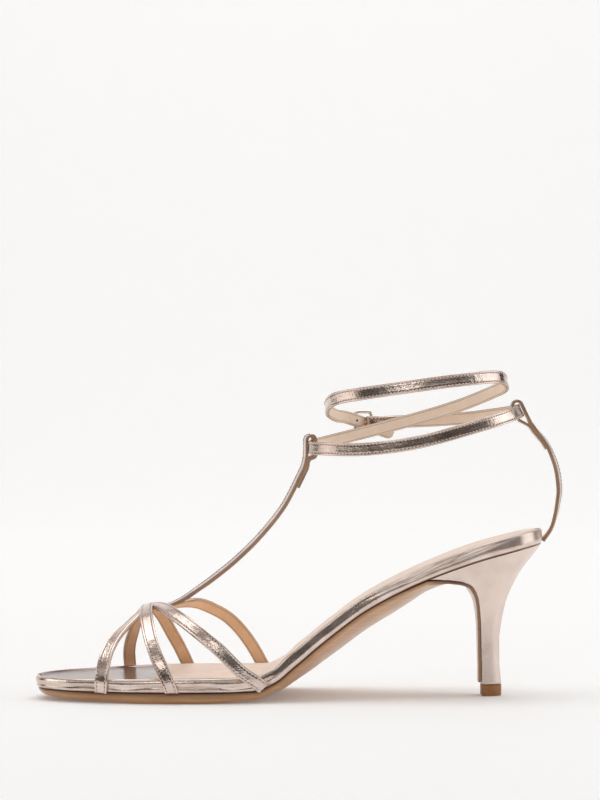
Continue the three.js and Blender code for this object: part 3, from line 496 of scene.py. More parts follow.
def sock_rings(count=260):
    """Rings from the front edge to the heel: underneath, the bevelled edge, the top."""
    turn = np.linspace(float(turn_of(sock_start)), float(turn_of(0.998)), count)
    t = np.linspace(0, 1, sock_cells + 1)

    def sheet(inset, up):
        spot = plan_rows(turn, sock_inset + inset, sock_cells)
        dish = sock_dish * (1 - (2 * t - 1) ** 2)[None, :]
        z = topside(spot[..., 0], spot[..., 1]) - sock_recess + gap + up - dish * (up > 0)
        return np.concatenate([spot, z[..., None]], -1)

    return np.concatenate([sheet(0.0, 0.0), sheet(0.02 * mm, 0.5 * sock_thickness)[:, -1:],
                           sheet(0.25 * mm, sock_thickness)[:, ::-1],
                           sheet(0.02 * mm, 0.5 * sock_thickness)[:, :1]], 1)


def lining_leather(name, color, shade, roughness, scale):
    """Plain dyed leather: cloudy colour, fine pores and a faint wrinkle."""
    material, tree, shader = new_material(name, color, roughness)
    place = node_of(tree, "TexCoord").outputs["Object"]
    cloud = node_of(tree, "TexNoise", {"Vector": place}, Scale=scale, Detail=5)
    stained_and_shaded(tree, shader, two_tone(tree, cloud.outputs["Fac"], 0.3, shade, 0.65, color), lining_brown)
    folds = node_of(tree, "TexNoise", {"Vector": place}, Scale=lining_wrinkles, Detail=3)
    pores = node_of(tree, "TexVoronoi", {"Vector": place}, Scale=lining_pores)
    normal = bumped(tree, folds.outputs["Fac"], 0.05 * mm)
    normal = bumped(tree, pores.outputs["Distance"], 0.03 * mm, normal)
    tree.links.new(normal, shader.inputs["Normal"])
    shader.inputs["Specular IOR Level"].default_value = 0.35
    return material


sock_leather = lining_leather("sock_leather", sock_color, sock_shade, 0.55, 160)
sock = skin("sock_sheet", sock_rings(), sock_leather)
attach(sock, "root")
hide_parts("sock")

# Heel: a slim moulded block covered in the same foiled leather, drawn tight up to the seat; its
# breast is left for the outsole's flap.
breast_top = 0.775
heel_inset = 0.5 * mm
stem_front = 81.6 * mm
stem_back = 89.5 * mm
stem_width = 10.4 * mm
heel_centre = 0.8 * mm
top_piece_height = 5 * mm
flap_thickness = 1.3 * mm
# Shares of the way from the stem's outline to the seat's, for each share of the height.
heel_rows = {
    "up": [0, 0.15, 0.3, 0.45, 0.58, 0.7, 0.8, 0.88, 0.94, 0.975, 0.99, 1],
    "front": [0, 0, 0.006, 0.012, 0.02, 0.04, 0.075, 0.145, 0.24, 0.4, 0.62, 1],
    "back": [0.06, 0.015, 0.01, 0.07, 0.165, 0.325, 0.51, 0.705, 0.865, 0.945, 0.975, 1],
    "side": [0, 0, 0.005, 0.04, 0.11, 0.235, 0.41, 0.62, 0.81, 0.92, 0.965, 1],
}


def heel_point(along, side, up):
    """A point of the heel block: the stem's outline moved out towards the seat's by the flare,
    from the breast at 0 to the back at 1 and from the lift at 0 to the seat at 1."""
    start, end = float(turn_of(breast_top)), float(turn_of(last_at))
    seat = edge_point(start + (end - start) * along, side, np.full(np.shape(along), heel_inset))
    seat_z = underside(seat[..., 0], seat[..., 1]) - gap
    rounding = np.clip((along - 0.3) / 0.7, 0, 1)
    stem_x = stem_front + (stem_back - stem_front) * (1 - np.cos(0.5 * math.pi * along)) ** 0.9
    stem_y = heel_centre + side * 0.5 * stem_width * np.sqrt(np.clip(1 - rounding ** 2.2, 0.004, 1))
    front = eased(heel_rows["up"], heel_rows["front"], up)
    back = eased(heel_rows["up"], heel_rows["back"], up)
    flare_x = front + (back - front) * np.minimum(1, along * 1.4) ** 0.8
    flare_y = eased(heel_rows["up"], heel_rows["side"], up)
    stem_z = top_piece_height + gap
    return np.stack([stem_x + (seat[..., 0] - stem_x) * flare_x,
                     stem_y + (seat[..., 1] - stem_y) * flare_y,
                     stem_z + (seat_z - stem_z) * up], -1)


def heel_rings(levels, cells):
    """Level rings from the lift to the seat, medial side first and back round the lateral side."""
    along = np.linspace(0, 1, cells + 1)
    up = np.asarray(levels)
    medial = heel_point(along[None, :], -1, up[:, None])
    lateral = heel_point(along[None, :], 1, up[:, None])
    return np.concatenate([medial, lateral[:, ::-1]], 1)


def ladder_skin(name, rings, material):
    """A closed skin over rings, whose ends are closed by rungs between each ring's two halves."""
    count, around = rings.shape[:2]
    j = np.arange(around // 2 - 1)
    last = (count - 1) * around
    first_rungs = np.stack([around - 1 - j, around - 2 - j, j + 1, j], -1)
    last_rungs = last + np.stack([j, j + 1, around - 2 - j, around - 1 - j], -1)
    points = rings.reshape(-1, 3) + shoe_shift
    return closed_mesh(name, points, [grid_faces(count, around, True), first_rungs, last_rungs], material)


heel_leather = foiled_leather("heel_leather", 0.38, 0.04, 0.08, 0.35)
heel_steps, heel_cells = 90, 60
heel_levels = 1 - np.linspace(1, 0, heel_steps) ** 1.6
heel = ladder_skin("heel_cover", heel_rings(heel_levels, heel_cells), heel_leather)
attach(heel, "root")
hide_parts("heel")

# Top piece: the brown rubber lift that takes the wear under the heel tip, nailed on and trimmed
# flush with the heel's cover.
lift_brown = (0.4, 0.185, 0.072)
lift_shade = (0.33, 0.145, 0.054)
lift_cells = 30
# The lift's rings: the height of each and its size as a share of the heel tip's.
lift_height = np.array([0.0, 0.25, 4.7, 4.98]) * mm
lift_share = np.array([0.94, 1.0, 1.0, 0.97])
lift_rubber = lining_leather("lift_rubber", lift_brown, lift_shade, 0.5, 300)
lift_ring = heel_rings([0.0], lift_cells)[0, :, :2]
lift_middle = lift_ring.mean(0)
lift_plan = (lift_ring - lift_middle) * lift_share[:, None, None] + lift_middle
lift_z = np.broadcast_to(lift_height[:, None, None], (*lift_plan.shape[:2], 1))
lift_rings = np.concatenate([lift_plan, lift_z], -1)
lift = ladder_skin("lift", lift_rings, lift_rubber)
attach(lift, "root")
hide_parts("top_piece")

# Outsole: tan sole leather with a bevelled edge, crowned under the waist, and drawn on down the
# heel's breast as a thin flap; painted shade darkens its upper edge where it meets the wrap, and
# the flap's side edges, most towards the seat.
outsole_inset = 1.2 * mm
outsole_bevel = 1.1 * mm
waist_crown = 7 * mm
# Rows along the sole: the edge's thickness in forefoot heights and the share of the waist's crown.
outsole_rows = {
    "at": [0, 0.03, 0.1, 0.16, 0.215, 0.34, 0.4, 0.45, 0.5, 0.56, 0.62, 0.7, 0.775],
    "thick": [0.36, 0.56, 0.72, 0.82, 0.94, 0.94, 0.78, 0.68, 0.6, 0.56, 0.52, 0.46, 0.38],
    "crown": [0, 0, 0, 0, 0, 0, 0, 0.2, 0.55, 0.88, 1, 0.92, 0.5],
}
outsole_cells = 24
outsole_steps, flap_steps = 420, 120
sole_tan = (0.62, 0.33, 0.137)
sole_shade = (0.48, 0.235, 0.09)
# Dark brown of painted shade on the sole's edge.
sole_edge_shade = (0.16, 0.07, 0.025)
sole_fibre = (60, 60, 900)
sole_grain = 1100


def outsole_rings(count=outsole_steps):
    """Rings along the sole and on down the breast: top, edge, underside and edge."""
    turn = np.linspace(float(turn_of(first_at)), float(turn_of(breast_top - 0.006)), count)
    t = np.linspace(0, 1, outsole_cells + 1)

    def row(inset, height):
        spot = plan_rows(turn, inset, outsole_cells)
        level = height(spot[..., 0], spot[..., 1], (2 * t - 1)[None, :])
        return np.concatenate([spot, level[..., None]], -1)

    def tread(x, y, share):
        at = share_of(x)
        edge = forefoot_height * eased(outsole_rows["at"], outsole_rows["thick"], at)
        crown = waist_crown * eased(outsole_rows["at"], outsole_rows["crown"], at) * (1 - share ** 2)
        return np.maximum(underside(x, y) - gap - edge - crown, 0)

    def welt(x, y, share):
        return underside(x, y) - gap

    def part_way(inset, depth):
        def height(x, y, share):
            top = welt(x, y, share)
            return top + (tread(x, y, share) - top) * depth
        return row(inset, height)

    top = row(outsole_inset, welt)
    shoulder = part_way(outsole_inset - 0.35 * mm, 0.22)
    belly = part_way(outsole_inset + 0.1 * mm, 0.62)
    turned = part_way(outsole_inset + 0.75 * outsole_bevel, 0.93)
    bottom = row(outsole_inset + 1.5 * outsole_bevel, tread)
    edge = np.stack([shoulder, belly, turned], 1)
    return np.concatenate([top, edge[:, :, -1], bottom[:, ::-1], edge[:, ::-1, 0]], 1)


def flap_rings(count=flap_steps):
    """Rings down the breast: the inner row lies on the heel, the outer one is the flap's face."""
    step = 0.004
    up = 0.992 - 0.972 * np.linspace(0, 1, count) ** 1.5
    zero = np.zeros(count)
    medial = heel_point(zero, -1, up)
    lateral = heel_point(zero, 1, up)
    run = heel_point(zero, -1, np.minimum(1, up + step)) - heel_point(zero, -1, np.maximum(0, up - step))
    run = run / np.hypot(run[:, 0], run[:, 2])[:, None]
    out = np.stack([-run[:, 2], zero, run[:, 0]], -1)
    out = out * np.where((out[:, 0] > 0) | (out[:, 2] > 0), -1, 1)[:, None]
    t = np.linspace(0, 1, outsole_cells + 1)[None, :, None]

    def row(depth, narrow=0.0):
        inner = medial[:, None] * (1 - t) + lateral[:, None] * t
        middle = inner.mean(1, keepdims=True)
        return middle + (inner - middle) * (1 - narrow) + out[:, None] * depth

    edge = np.stack([row(gap + share * flap_thickness) for share in (0.25, 0.5, 0.75)], 1)
    return np.concatenate([row(gap, 0.01), edge[:, :, -1], row(gap + flap_thickness, 0.015)[:, ::-1],
                           edge[:, ::-1, 0]], 1)


def sole_leather():
    """Tan sole leather: streaks of fibre along the sole, a fine grain under a soft varnish, and a dark
    brown of painted shade where the piece's attribute says."""
    material, tree, shader = new_material("sole_leather", sole_tan, 0.42, 0.0, 0.8)
    shader.inputs["Coat Roughness"].default_value = 0.28
    place = node_of(tree, "TexCoord").outputs["Object"]
    fibre = node_of(tree, "Mapping", {"Vector": place})
    fibre.inputs["Scale"].default_value = sole_fibre
    streak = node_of(tree, "TexNoise", {"Vector": fibre.outputs["Vector"]}, Scale=1, Detail=4)
    stained_and_shaded(tree, shader, two_tone(tree, streak.outputs["Fac"], 0.35, sole_shade, 0.65, sole_tan), sole_edge_shade)
    grain = node_of(tree, "TexNoise", {"Vector": place}, Scale=sole_grain, Detail=4)
    tree.links.new(bumped(tree, grain.outputs["Fac"], 0.02 * mm), shader.inputs["Normal"])
    return material


sole_rings = np.concatenate([outsole_rings(), flap_rings()])
outsole = ladder_skin("sole", sole_rings, sole_leather())
around = sole_rings.shape[1]
# Painted shade: the edge's shoulder where the sole meets the wrap, and the flap's side edges, darkest under
# the seat; the hidden top is darkened too.
edge_shade_row = np.zeros(around)
edge_shade_row[:outsole_cells + 1] = 1
edge_shade_row[[outsole_cells + 1, around - 1]] = 0.55
edge_shade_rows = np.tile(edge_shade_row, (len(sole_rings), 1))
edge_columns = [*range(outsole_cells + 1, outsole_cells + 4), *range(around - 3, around)]
edge_shade_rows[-flap_steps:, edge_columns] = np.linspace(0.9, 0.45, flap_steps)[:, None]
paint(outsole, edge_shade_rows)
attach(outsole, "root")
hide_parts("outsole")

# Vamp straps: three straps of folded foil leather on a tan lining, edge-stitched on both sides,
# that cross in a knot over the toes; their ends run down beside the footbed and under it.
strap_width = 5.9 * mm
strap_thickness = 1.8 * mm
crossing_lift = 1.1 * mm
end_slope = 0.7
end_turn = 0.7
end_curl = 1.0 * mm
curl_length = 5 * mm
instep_height = 107.3 * mm
thread_pitch = 1.6 * mm
thread_length = 1.05 * mm
thread_radius = 0.19 * mm
thread_inset = 1.12 * mm
hole_radius = 0.3 * mm
row_step = 0.5 * mm
bare_end = 1.2 * mm
wrinkle_depth = 0.028 * mm
lining_share = 0.3
thread_color = (0.72, 0.58, 0.5)
hole_shade = (0.06, 0.035, 0.025)
lining_tan = (0.95, 0.65, 0.41)
lining_shade = (0.87, 0.57, 0.35)
instep_rows = {
    "at": [0.09, 0.135, 0.17, 0.215, 0.265, 0.293, 0.343, 0.394, 0.445, 0.5],
    "height": [0.25, 0.275, 0.31, 0.362, 0.384, 0.411, 0.486, 0.572, 0.679, 0.83],
}
# Rows of each strap: share of the sole's length, place from the medial edge at -1 to the lateral
# at 1, and lift over the strap below in crossing lifts.
vamp_straps = {
    "low": [(0.136, -1, 0), (0.1385, -0.81, 0), (0.148, -0.543, 0), (0.167, -0.33, 0), (0.196, -0.17, 0),
            (0.229, 0.02, 0), (0.262, 0.16, 0), (0.299, 0.318, 0), (0.338, 0.529, 0), (0.378, 0.698, 0),
            (0.418, 0.872, 0), (0.446, 1, 0)],
    "middle": [(0.437, -1, 0), (0.404, -0.935, 0), (0.365, -0.802, 0), (0.326, -0.64, 0),
               (0.286, -0.41, 0.3), (0.256, -0.19, 1), (0.226, 0.03, 1), (0.198, 0.31, 0.5),
               (0.181, 0.55, 0), (0.173, 0.76, 0), (0.1745, 1, 0)],
    "high": [(0.2675, -1, 0), (0.256, -0.88, 0), (0.2387, -0.7, 0), (0.2268, -0.5, 0.3),
             (0.2205, -0.28, 1), (0.2195, -0.03, 1.4), (0.2275, 0.2, 1.3), (0.241, 0.4, 0.6),
             (0.2577, 0.634, 0), (0.2785, 0.852, 0), (0.2935, 1, 0)],
}
# The section from the edge to the middle: the folded edge stands up as a round border, the thread
# row pulls a groove beside it and the middle lies a little lower. Heights are in half thicknesses.
border_from_edge = np.array([0, 0.03, 0.12, 0.28, 0.5, 0.72, 0.92, 1.12, 1.32, 1.6, 2.1, 2.95]) * mm
border_height = np.array([0.12, 0.42, 0.74, 0.95, 1.03, 0.98, 0.84, 0.76, 0.8, 0.84, 0.82, 0.8])


def unit(vectors):
    """Each vector divided by its length."""
    return vectors / np.linalg.norm(vectors, axis=-1, keepdims=True)


def through_rows(rows, t):
    """Catmull-Rom curve through evenly spaced rows, read at t counted in rows."""
    rows = np.asarray(rows, float)
    last = len(rows) - 1
    i = np.minimum(np.floor(t).astype(int), last - 1)
    u = (t - i)[:, None]
    a, b, c, d = (rows[np.clip(i + k, 0, last)] for k in (-1, 0, 1, 2))
    rise = c - b
    return b + rise * u + u * (1 - u) * (((c - a) / 2 - rise) * (1 - u) + (rise - (d - b) / 2) * u)


def foot_point(at, turn, lift):
    """Half an ellipse over the sole at each section, from the medial edge at -1 to the lateral at
    1, moved off its surface by the lift."""
    x = toe_tip + sole_length * at
    clear = gap + strap_thickness / 2
    medial, lateral = sole_edge(at, -1) - clear, sole_edge(at, 1) + clear
    middle = (medial + lateral) / 2
    ridge = instep_height * eased(instep_rows["at"], instep_rows["height"], at)
    base = topside(x, middle) - 0.35 * board_thickness
    angle = 0.5 * math.pi * turn
    point = np.stack([x, middle + 0.5 * (lateral - medial) * np.sin(angle),
                      base + (ridge - base) * np.cos(angle)], -1)
    return point if lift is None else point + foot_out(at, turn) * lift[:, None]


def foot_out(at, turn):
    """The outward normal of the surface over the foot."""
    step = 0.002
    along = foot_point(at + step, turn, None) - foot_point(at - step, turn, None)
    round_run = foot_point(at, turn + step, None) - foot_point(at, turn - step, None)
    return -unit(np.cross(round_run, along))


def evenly(places, others, step=row_step):
    """The same curve with rows at equal distances; the other columns go with it."""
    run = np.concatenate([[0], np.cumsum(np.linalg.norm(np.diff(places, axis=0), axis=1))])
    spots = np.linspace(0, run[-1], max(8, int(round(run[-1] / step)) + 1))
    table = np.concatenate([places, others], 1)
    even = np.stack([np.interp(spots, run, column) for column in table.T], 1)
    return spots, even[:, :3], even[:, 3:]


def frame_along(places, outs, skew):
    """Run, breadth and outward direction of a strip at each place; skew slants the breadth."""
    run = unit(np.gradient(places, axis=0))
    across = unit(np.cross(run, outs))
    return run, across + skew[:, None] * run, np.cross(across, run)


def wrinkle(spots, aside, seed, depth):
    """Soft waves that lie slantwise across a strip, as a sum of sines of place and breadth."""
    s = spots[:, None] / mm
    w = aside / mm
    wave = (np.sin(0.83 * s + 0.5 * w + seed) + 0.8 * np.sin(1.71 * s - 0.8 * w + 2.3 * seed)
            + 0.6 * np.sin(2.9 * s + 1.3 * w + 4.1 * seed) + 0.5 * np.sin(0.31 * s + 7 * seed))
    return depth * wave * (0.6 + 0.4 * np.sin(0.17 * s + 3 * seed))


def foil_face(spots, places, outs, width, thick, skew, seed, pleat=None):
    """The leather of a strap as rings: its top follows the border's section with soft wrinkles,
    its underside is flat. A pleat is ridges along the strap, round a middle, over a length."""
    half = width / 2
    share = np.concatenate([-1 + border_from_edge / border_from_edge[-1],
                            1 - border_from_edge[::-1][1:] / border_from_edge[-1]])
    aside = half[:, None] * share[None, :]
    height = np.interp(border_from_edge[-1] * (1 - np.abs(share)), border_from_edge, border_height)
    top = 0.5 * thick[:, None] * height[None, :]
    inner = np.clip(1 - share ** 2, 0, 1)[None, :]
    top = top + wrinkle(spots, aside, seed, wrinkle_depth) * inner
    if pleat:
        middle, length, depth = pleat
        near = soft_bump(spots / spots[-1], middle, length)[:, None]
        top = top + depth * near * np.cos(8.5 * share[None, :] * math.pi / 2 + 0.4) * inner
    low = -lining_share * 0.5 * thick[:, None]
    bottom_share = np.array([0.975, 0.5, -0.5, -0.975])
    bottom_aside = half[:, None] * bottom_share[None, :]
    aside = np.concatenate([aside, bottom_aside], 1)
    up = np.concatenate([top, np.broadcast_to(low, bottom_aside.shape)], 1)
    run, across, out = frame_along(places, outs, skew)
    return places[:, None] + across[:, None] * aside[..., None] + out[:, None] * up[..., None]


# The lining from its middle to its edge: the share of its half breadth, its height in half
# thicknesses, and how much of the dark dye and needle line each place carries.
lining_inset = 0.14 * mm
lining_half = np.array([0.2, 0.62, 0.68, 0.72, 0.79, 0.83, 0.93, 1])
lining_level = np.array([-1.03, -1.02, -1.02, -1.0, -1.0, -1.02, -1, -0.8])
lining_line = np.array([0, 0, 0.05, 0.5, 0.5, 0.05, 0.15, 0.55])
lining_dye = np.concatenate([lining_line[::-1], lining_line, [0.6, 0.6, 0.6, 0.6]])
side_dye = np.concatenate([[1, 1, 0.7], np.zeros(2 * len(border_height) - 7), [0.7, 1, 1], np.ones(4)])
# Painted shade darkens the groove that the thread row pulls beside each border.
groove_shade = np.interp(border_from_edge, [0.8 * mm, 1.12 * mm, 1.45 * mm], [0, 0.4, 0])
groove_shade = np.concatenate([groove_shade, groove_shade[::-1][1:], np.zeros(4)])


def lining_face(places, outs, width, thick, skew):
    """The lining of a strap as rings: a thin flat strip with blunt edges, a little narrower."""
    hidden = 0.04 - lining_share
    share = np.concatenate([-lining_half[::-1], lining_half, [1, 0.92, -0.92, -1]])
    level = np.concatenate([lining_level[::-1], lining_level, [-0.4, hidden, hidden, -0.4]])
    half = width / 2 - lining_inset
    run, across, out = frame_along(places, outs, skew)
    return (places[:, None] + across[:, None] * (half[:, None] * share)[..., None]
            + out[:, None] * (0.5 * thick[:, None] * level)[..., None])


def thread_rows(spots, places, outs, width, thick, skew, ends):
    """Places and directions of the stitches of both borders, a pitch apart."""
    run, across, out = frame_along(places, outs, skew)
    count = int((spots[-1] - sum(ends)) / thread_pitch)
    middles = ends[0] + (np.arange(count) + 0.5) * (spots[-1] - sum(ends)) / count

    def read(columns):
        return np.stack([np.interp(middles, spots, column) for column in columns.T], 1)

    lay, way, side, off = read(places), unit(read(run)), read(across), unit(read(out))
    wide = np.interp(middles, spots, width / 2)[:, None]
    level = 0.5 * np.interp(middles, spots, thick)[:, None] * 0.77
    return [(lay + side * sign * (wide - thread_inset) + off * level, way, off) for sign in (-1, 1)]


def seeds(name, rows, material, shape):
    """Many small closed bodies as one mesh: each is a row of rings round its own way. The shape
    gives each ring's place along the way, its radius and its rise off the surface."""
    along, radius, rise = np.asarray(shape, float).T
    sides = 6
    angle = 2 * math.pi * np.arange(sides) / sides
    middle = np.concatenate([row[0] for row in rows])
    way = np.concatenate([row[1] for row in rows])
    off = np.concatenate([row[2] for row in rows])
    side = np.cross(way, off)
    ring = (radius[:, None] * np.cos(angle))[None, ..., None] * side[:, None, None]
    ring = ring + (radius[:, None] * np.sin(angle) + rise[:, None])[None, ..., None] * off[:, None, None]
    points = middle[:, None, None] + along[None, :, None, None] * way[:, None, None] + ring + shoe_shift
    each = len(along) * sides
    faces = grid_faces(len(along), sides, True)
    caps = np.array([[0, 1, 2, 3], [0, 3, 4, 5]])
    faces = np.concatenate([faces, caps, each - 1 - caps])
    all_faces = (faces[None] + (np.arange(len(middle)) * each)[:, None, None]).reshape(-1, 4)
    return put_mesh(name, points, [all_faces], material)


# A stitch and a needle hole as rings: place along the thread in its lengths, radius and rise in
# thread radii, and for a hole all three in the hole's own radius.
stitch_rings = [(-0.5, 0.3, -0.9), (-0.42, 0.8, -0.2), (-0.2, 1, 0.35), (0.2, 1, 0.35), (0.42, 0.8, -0.2),
                (0.5, 0.3, -0.9)]
hole_rings = [(-1, 0.3, -0.2), (-0.5, 0.9, -0.6), (0.5, 0.9, -0.6), (1, 0.3, -0.2)]
stitch_shape = np.array(stitch_rings) * [thread_length, thread_radius, thread_radius]
hole_shape = np.array(hole_rings) * hole_radius
strap_leather = foiled_leather("strap_leather", 0.18, 0.1, 0.035)
strap_lining = lining_leather("strap_lining", lining_tan, lining_shade, 0.5, 200)
thread, _, _ = new_material("thread", thread_color, 0.6)
# The needle holes and the tail's punched holes are near-black sunken discs: painted shade inside the holes.
needle_hole_shade, _, _ = new_material("needle_hole_shade", hole_shade, 0.8)


def strap_piece(name, places, outs, width, thick, seed, pleat=None, ends=(bare_end, bare_end), skew=None,
                dye=0.0, backing=strap_lining):
    """A whole strap: leather, lining, the stitches of both borders and the needle holes between
    them, as dark discs of painted shade.
    """
    skew = np.zeros(len(places)) if skew is None else skew
    columns = np.concatenate([outs, width[:, None], thick[:, None], skew[:, None]], 1)
    spots, places, rest = evenly(places, columns)
    outs, width, thick, skew = unit(rest[:, :3]), rest[:, 3], rest[:, 4], rest[:, 5]
    rings = foil_face(spots, places, outs, width, thick, skew, seed, pleat)
    leather = skin(name, rings, strap_leather)
    paint(leather, np.append(np.tile(np.maximum(dye * side_dye, groove_shade), len(rings)), [dye, dye]))
    rings = lining_face(places, outs, width, thick, skew)
    back = skin(name + "_lining", rings, backing)
    paint(back, np.append(np.tile(lining_dye, len(rings)), [1, 1]))
    rows = thread_rows(spots, places, outs, width, thick, skew, ends)
    stitches = seeds(name + "_stitches", rows, thread, stitch_shape)
    between = [(spot + way * 0.5 * thread_pitch, way, off) for spot, way, off in rows]
    holes = seeds(name + "_holes", between, needle_hole_shade, hole_shape)
    for piece in (leather, back, stitches, holes):
        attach(piece, "root")
    return leather


def vamp_way(rows, count=500):
    """Places, outward directions and slants of a vamp strap. Both ends keep most of their slope
    down beside the footbed, are cut nearly along the sole and turn in under it."""
    t = np.linspace(0, len(rows) - 1, count)
    at, turn, lift = through_rows(rows, t).T
    places, outs = foot_point(at, turn, lift * crossing_lift), foot_out(at, turn)

    def down(place, inner, out, side):
        run = unit(place - inner)
        flat = unit(out * [1, 1, 0])
        reach = -end_slope * run[0] * (place[2] - underside(place[:1], place[1:2])[0]) / run[2]
        share = np.linspace(1, 0, 12)[:-1]
        x = place[0] + reach * share
        y = sole_edge(share_of(x), side) + side * (gap + strap_thickness / 2)
        foot = underside(x, y) + 0.5 * strap_width * (1 - end_turn) * abs(run[0]) - 0.5 * gap
        line = np.stack([x, y, place[2] + (foot - place[2]) * share], 1)
        slant = share * end_turn * run[0] / np.cross(run, flat)[0]
        return line, np.broadcast_to(flat, line.shape), slant

    first, first_out, first_skew = down(places[0], places[1], outs[0], -1)
    last, last_out, last_skew = down(places[-1], places[-2], outs[-1], 1)
    way = np.concatenate([first, places, last[::-1]])
    left = np.minimum(np.linalg.norm(way - way[0], axis=1), np.linalg.norm(way - way[-1], axis=1))
    way[:, 1] -= np.sign(way[:, 1]) * end_curl * np.clip(1 - left / curl_length, 0, 1) ** 2
    way_outs = np.concatenate([first_out, outs, last_out[::-1]])
    way_skew = np.concatenate([first_skew, np.zeros(count), last_skew[::-1]])
    return way, way_outs, way_skew


vamp_pleats = {"low": None, "middle": None, "high": (0.47, 0.11, 0.16 * mm)}
for seed, (name, rows) in enumerate(vamp_straps.items()):
    way, outs, skew = vamp_way(rows)
    even = np.ones(len(way))
    strap = strap_piece("vamp_strap_" + name, way, outs, strap_width * even, strap_thickness * even,
                        1.3 + seed, vamp_pleats[name], skew=skew)
    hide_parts("upper")

# T-strap: the same folded strap, stitched under the knot and led up the instep to a loop that
# holds the ankle strap; its skived end is turned back and stitched to its inner face.
crossing_at = 0.2357
fold_thickness = 1.3 * mm
fold_sink = 0.1 * mm
loop_fold_back = 14 * mm
loop_first = 0.6 * mm
skive_places = 40
loop_strap_dye = 0.8
ankle_back_setback = 9.8 * mm
ankle_length = 94.8 * mm
front_loop_half = 2.05 * mm
front_loop_tall = 9.5 * mm
front_loop_leg = 0.5 * mm
front_loop_lead = 0.4 * mm
t_strap_twist = 0.22
front_loop_setback = 0.37 * mm
t_strap_rows = {
    "along": [0, 0.107, 0.193, 0.278, 0.364, 0.534, 0.706, 0.853, 0.948, 0.99, 1],
    "height": [0.362, 0.384, 0.411, 0.448, 0.486, 0.572, 0.679, 0.796, 0.909, 0.967, 1],
}
heel_back = toe_tip + sole_length
ankle_centre = heel_back - ankle_back_setback - 0.5 * ankle_length


def smooth_path(points, each=24):
    """Centripetal Catmull-Rom curve through points, with evenly many places between each two."""
    points = np.asarray(points, float)
    ends = np.stack([2 * points[0] - points[1], 2 * points[-1] - points[-2]])
    p = np.concatenate([ends[:1], points, ends[1:]])
    step = np.sqrt(np.linalg.norm(np.diff(p, axis=0), axis=1))[:, None]
    p0, p1, p2, p3 = p[:-3], p[1:-2], p[2:-1], p[3:]
    d0, d1, d2 = step[:-2], step[1:-1], step[2:]
    m1 = ((p1 - p0) / d0 - (p2 - p0) / (d0 + d1) + (p2 - p1) / d1) * d1
    m2 = ((p2 - p1) / d1 - (p3 - p1) / (d1 + d2) + (p3 - p2) / d2) * d1
    u = np.linspace(0, 1, each, endpoint=False)[None, :, None]
    p1, p2, m1, m2 = (value[:, None] for value in (p1, p2, m1, m2))
    path = (p1 * (2 * u ** 3 - 3 * u ** 2 + 1) + m1 * (u ** 3 - 2 * u ** 2 + u)
            + p2 * (3 * u ** 2 - 2 * u ** 3) + m2 * (u ** 3 - u ** 2))
    return np.concatenate([path.reshape(-1, points.shape[1]), points[-1:]])


def looped_strap(points, lean, to_foot, half, tall, leg, lead):
    """Way of a strap in the shoe's middle plane with its loop: up the stem, round the loop and
    back down the stem's inner face. Returns the way and how many of its places are the stem's."""
    stem = smooth_path(points)
    end = stem[-1]
    up = np.array([math.sin(lean), math.cos(lean)])
    inward = np.array([to_foot * math.cos(lean), -to_foot * math.sin(lean)])
    angle = np.linspace(0, math.pi, 9)
    arc_rise = tall - half + half * np.sin(angle)
    arc = end + np.outer(half * (1 - np.cos(angle)), inward) + np.outer(arc_rise, up)
    middle = 0.5 * (tall - half)
    away = np.linalg.norm(stem - end, axis=1)
    lengths = np.linspace(lead + loop_first, loop_fold_back, 5)
    picks = np.abs(away[None, :] - lengths[:, None]).argmin(1)
    run = unit(np.gradient(stem, axis=0))
    normal = np.stack([-run[:, 1], run[:, 0]], 1)
    normal = normal * np.sign(normal @ inward)[:, None]
    offset = (strap_thickness + fold_thickness) / 2 - fold_sink
    back = stem[picks] + normal[picks] * offset
    loop = np.concatenate([[end + up * middle], arc, [end + inward * 2 * half + up * middle],
                           [end + inward * 2 * half + up * leg], back])
    way = np.concatenate([stem[:-1], smooth_path(np.concatenate([[end], loop]))])
    return way, len(stem)


def plane_strap(name, points, lean, to_foot, width, loop, twist, seed, held=1.0):
    """A strap in the middle plane, turned a little round its run, thinner where it is folded. The
    loop is its half width, its height, where its inner leg leaves and how soon that lies down."""
    way, stem_count = looped_strap(points, lean, to_foot, *loop)
    places = np.stack([way[:, 0], np.zeros(len(way)), way[:, 1]], 1)
    run = unit(np.gradient(places, axis=0))
    outs = np.stack([-run[:, 2], np.zeros(len(way)), run[:, 0]], 1) * to_foot
    share = np.clip(np.arange(len(way)) / stem_count, 0, 1)
    tilt = twist * np.sin(math.pi * np.where(share > 0.5, 0.5 + held * (share - 0.5), share))[:, None]
    tilt = tilt * np.clip(2 * run[:, 2:], -1, 1)
    outs = outs * np.cos(tilt) - np.array([0, 1, 0]) * np.sin(tilt) * to_foot
    folded = np.clip((np.arange(len(way)) - stem_count) / skive_places + 0.5, 0, 1)
    thick = strap_thickness + (fold_thickness - strap_thickness) * folded
    return strap_piece(name, places, outs, np.full(len(way), width), thick, seed, dye=loop_strap_dye)


crossing_x = toe_tip + sole_length * crossing_at
loop_front = ankle_centre - 0.5 * ankle_length + front_loop_setback - front_loop_half
t_points = np.stack([crossing_x + (loop_front - crossing_x) * np.array(t_strap_rows["along"]),
                     instep_height * np.array(t_strap_rows["height"])], 1)
plane_strap("t_strap", t_points, 0.0, 1, strap_width,
            (front_loop_half, front_loop_tall, front_loop_leg, front_loop_lead), t_strap_twist, 5.2, 0.0)

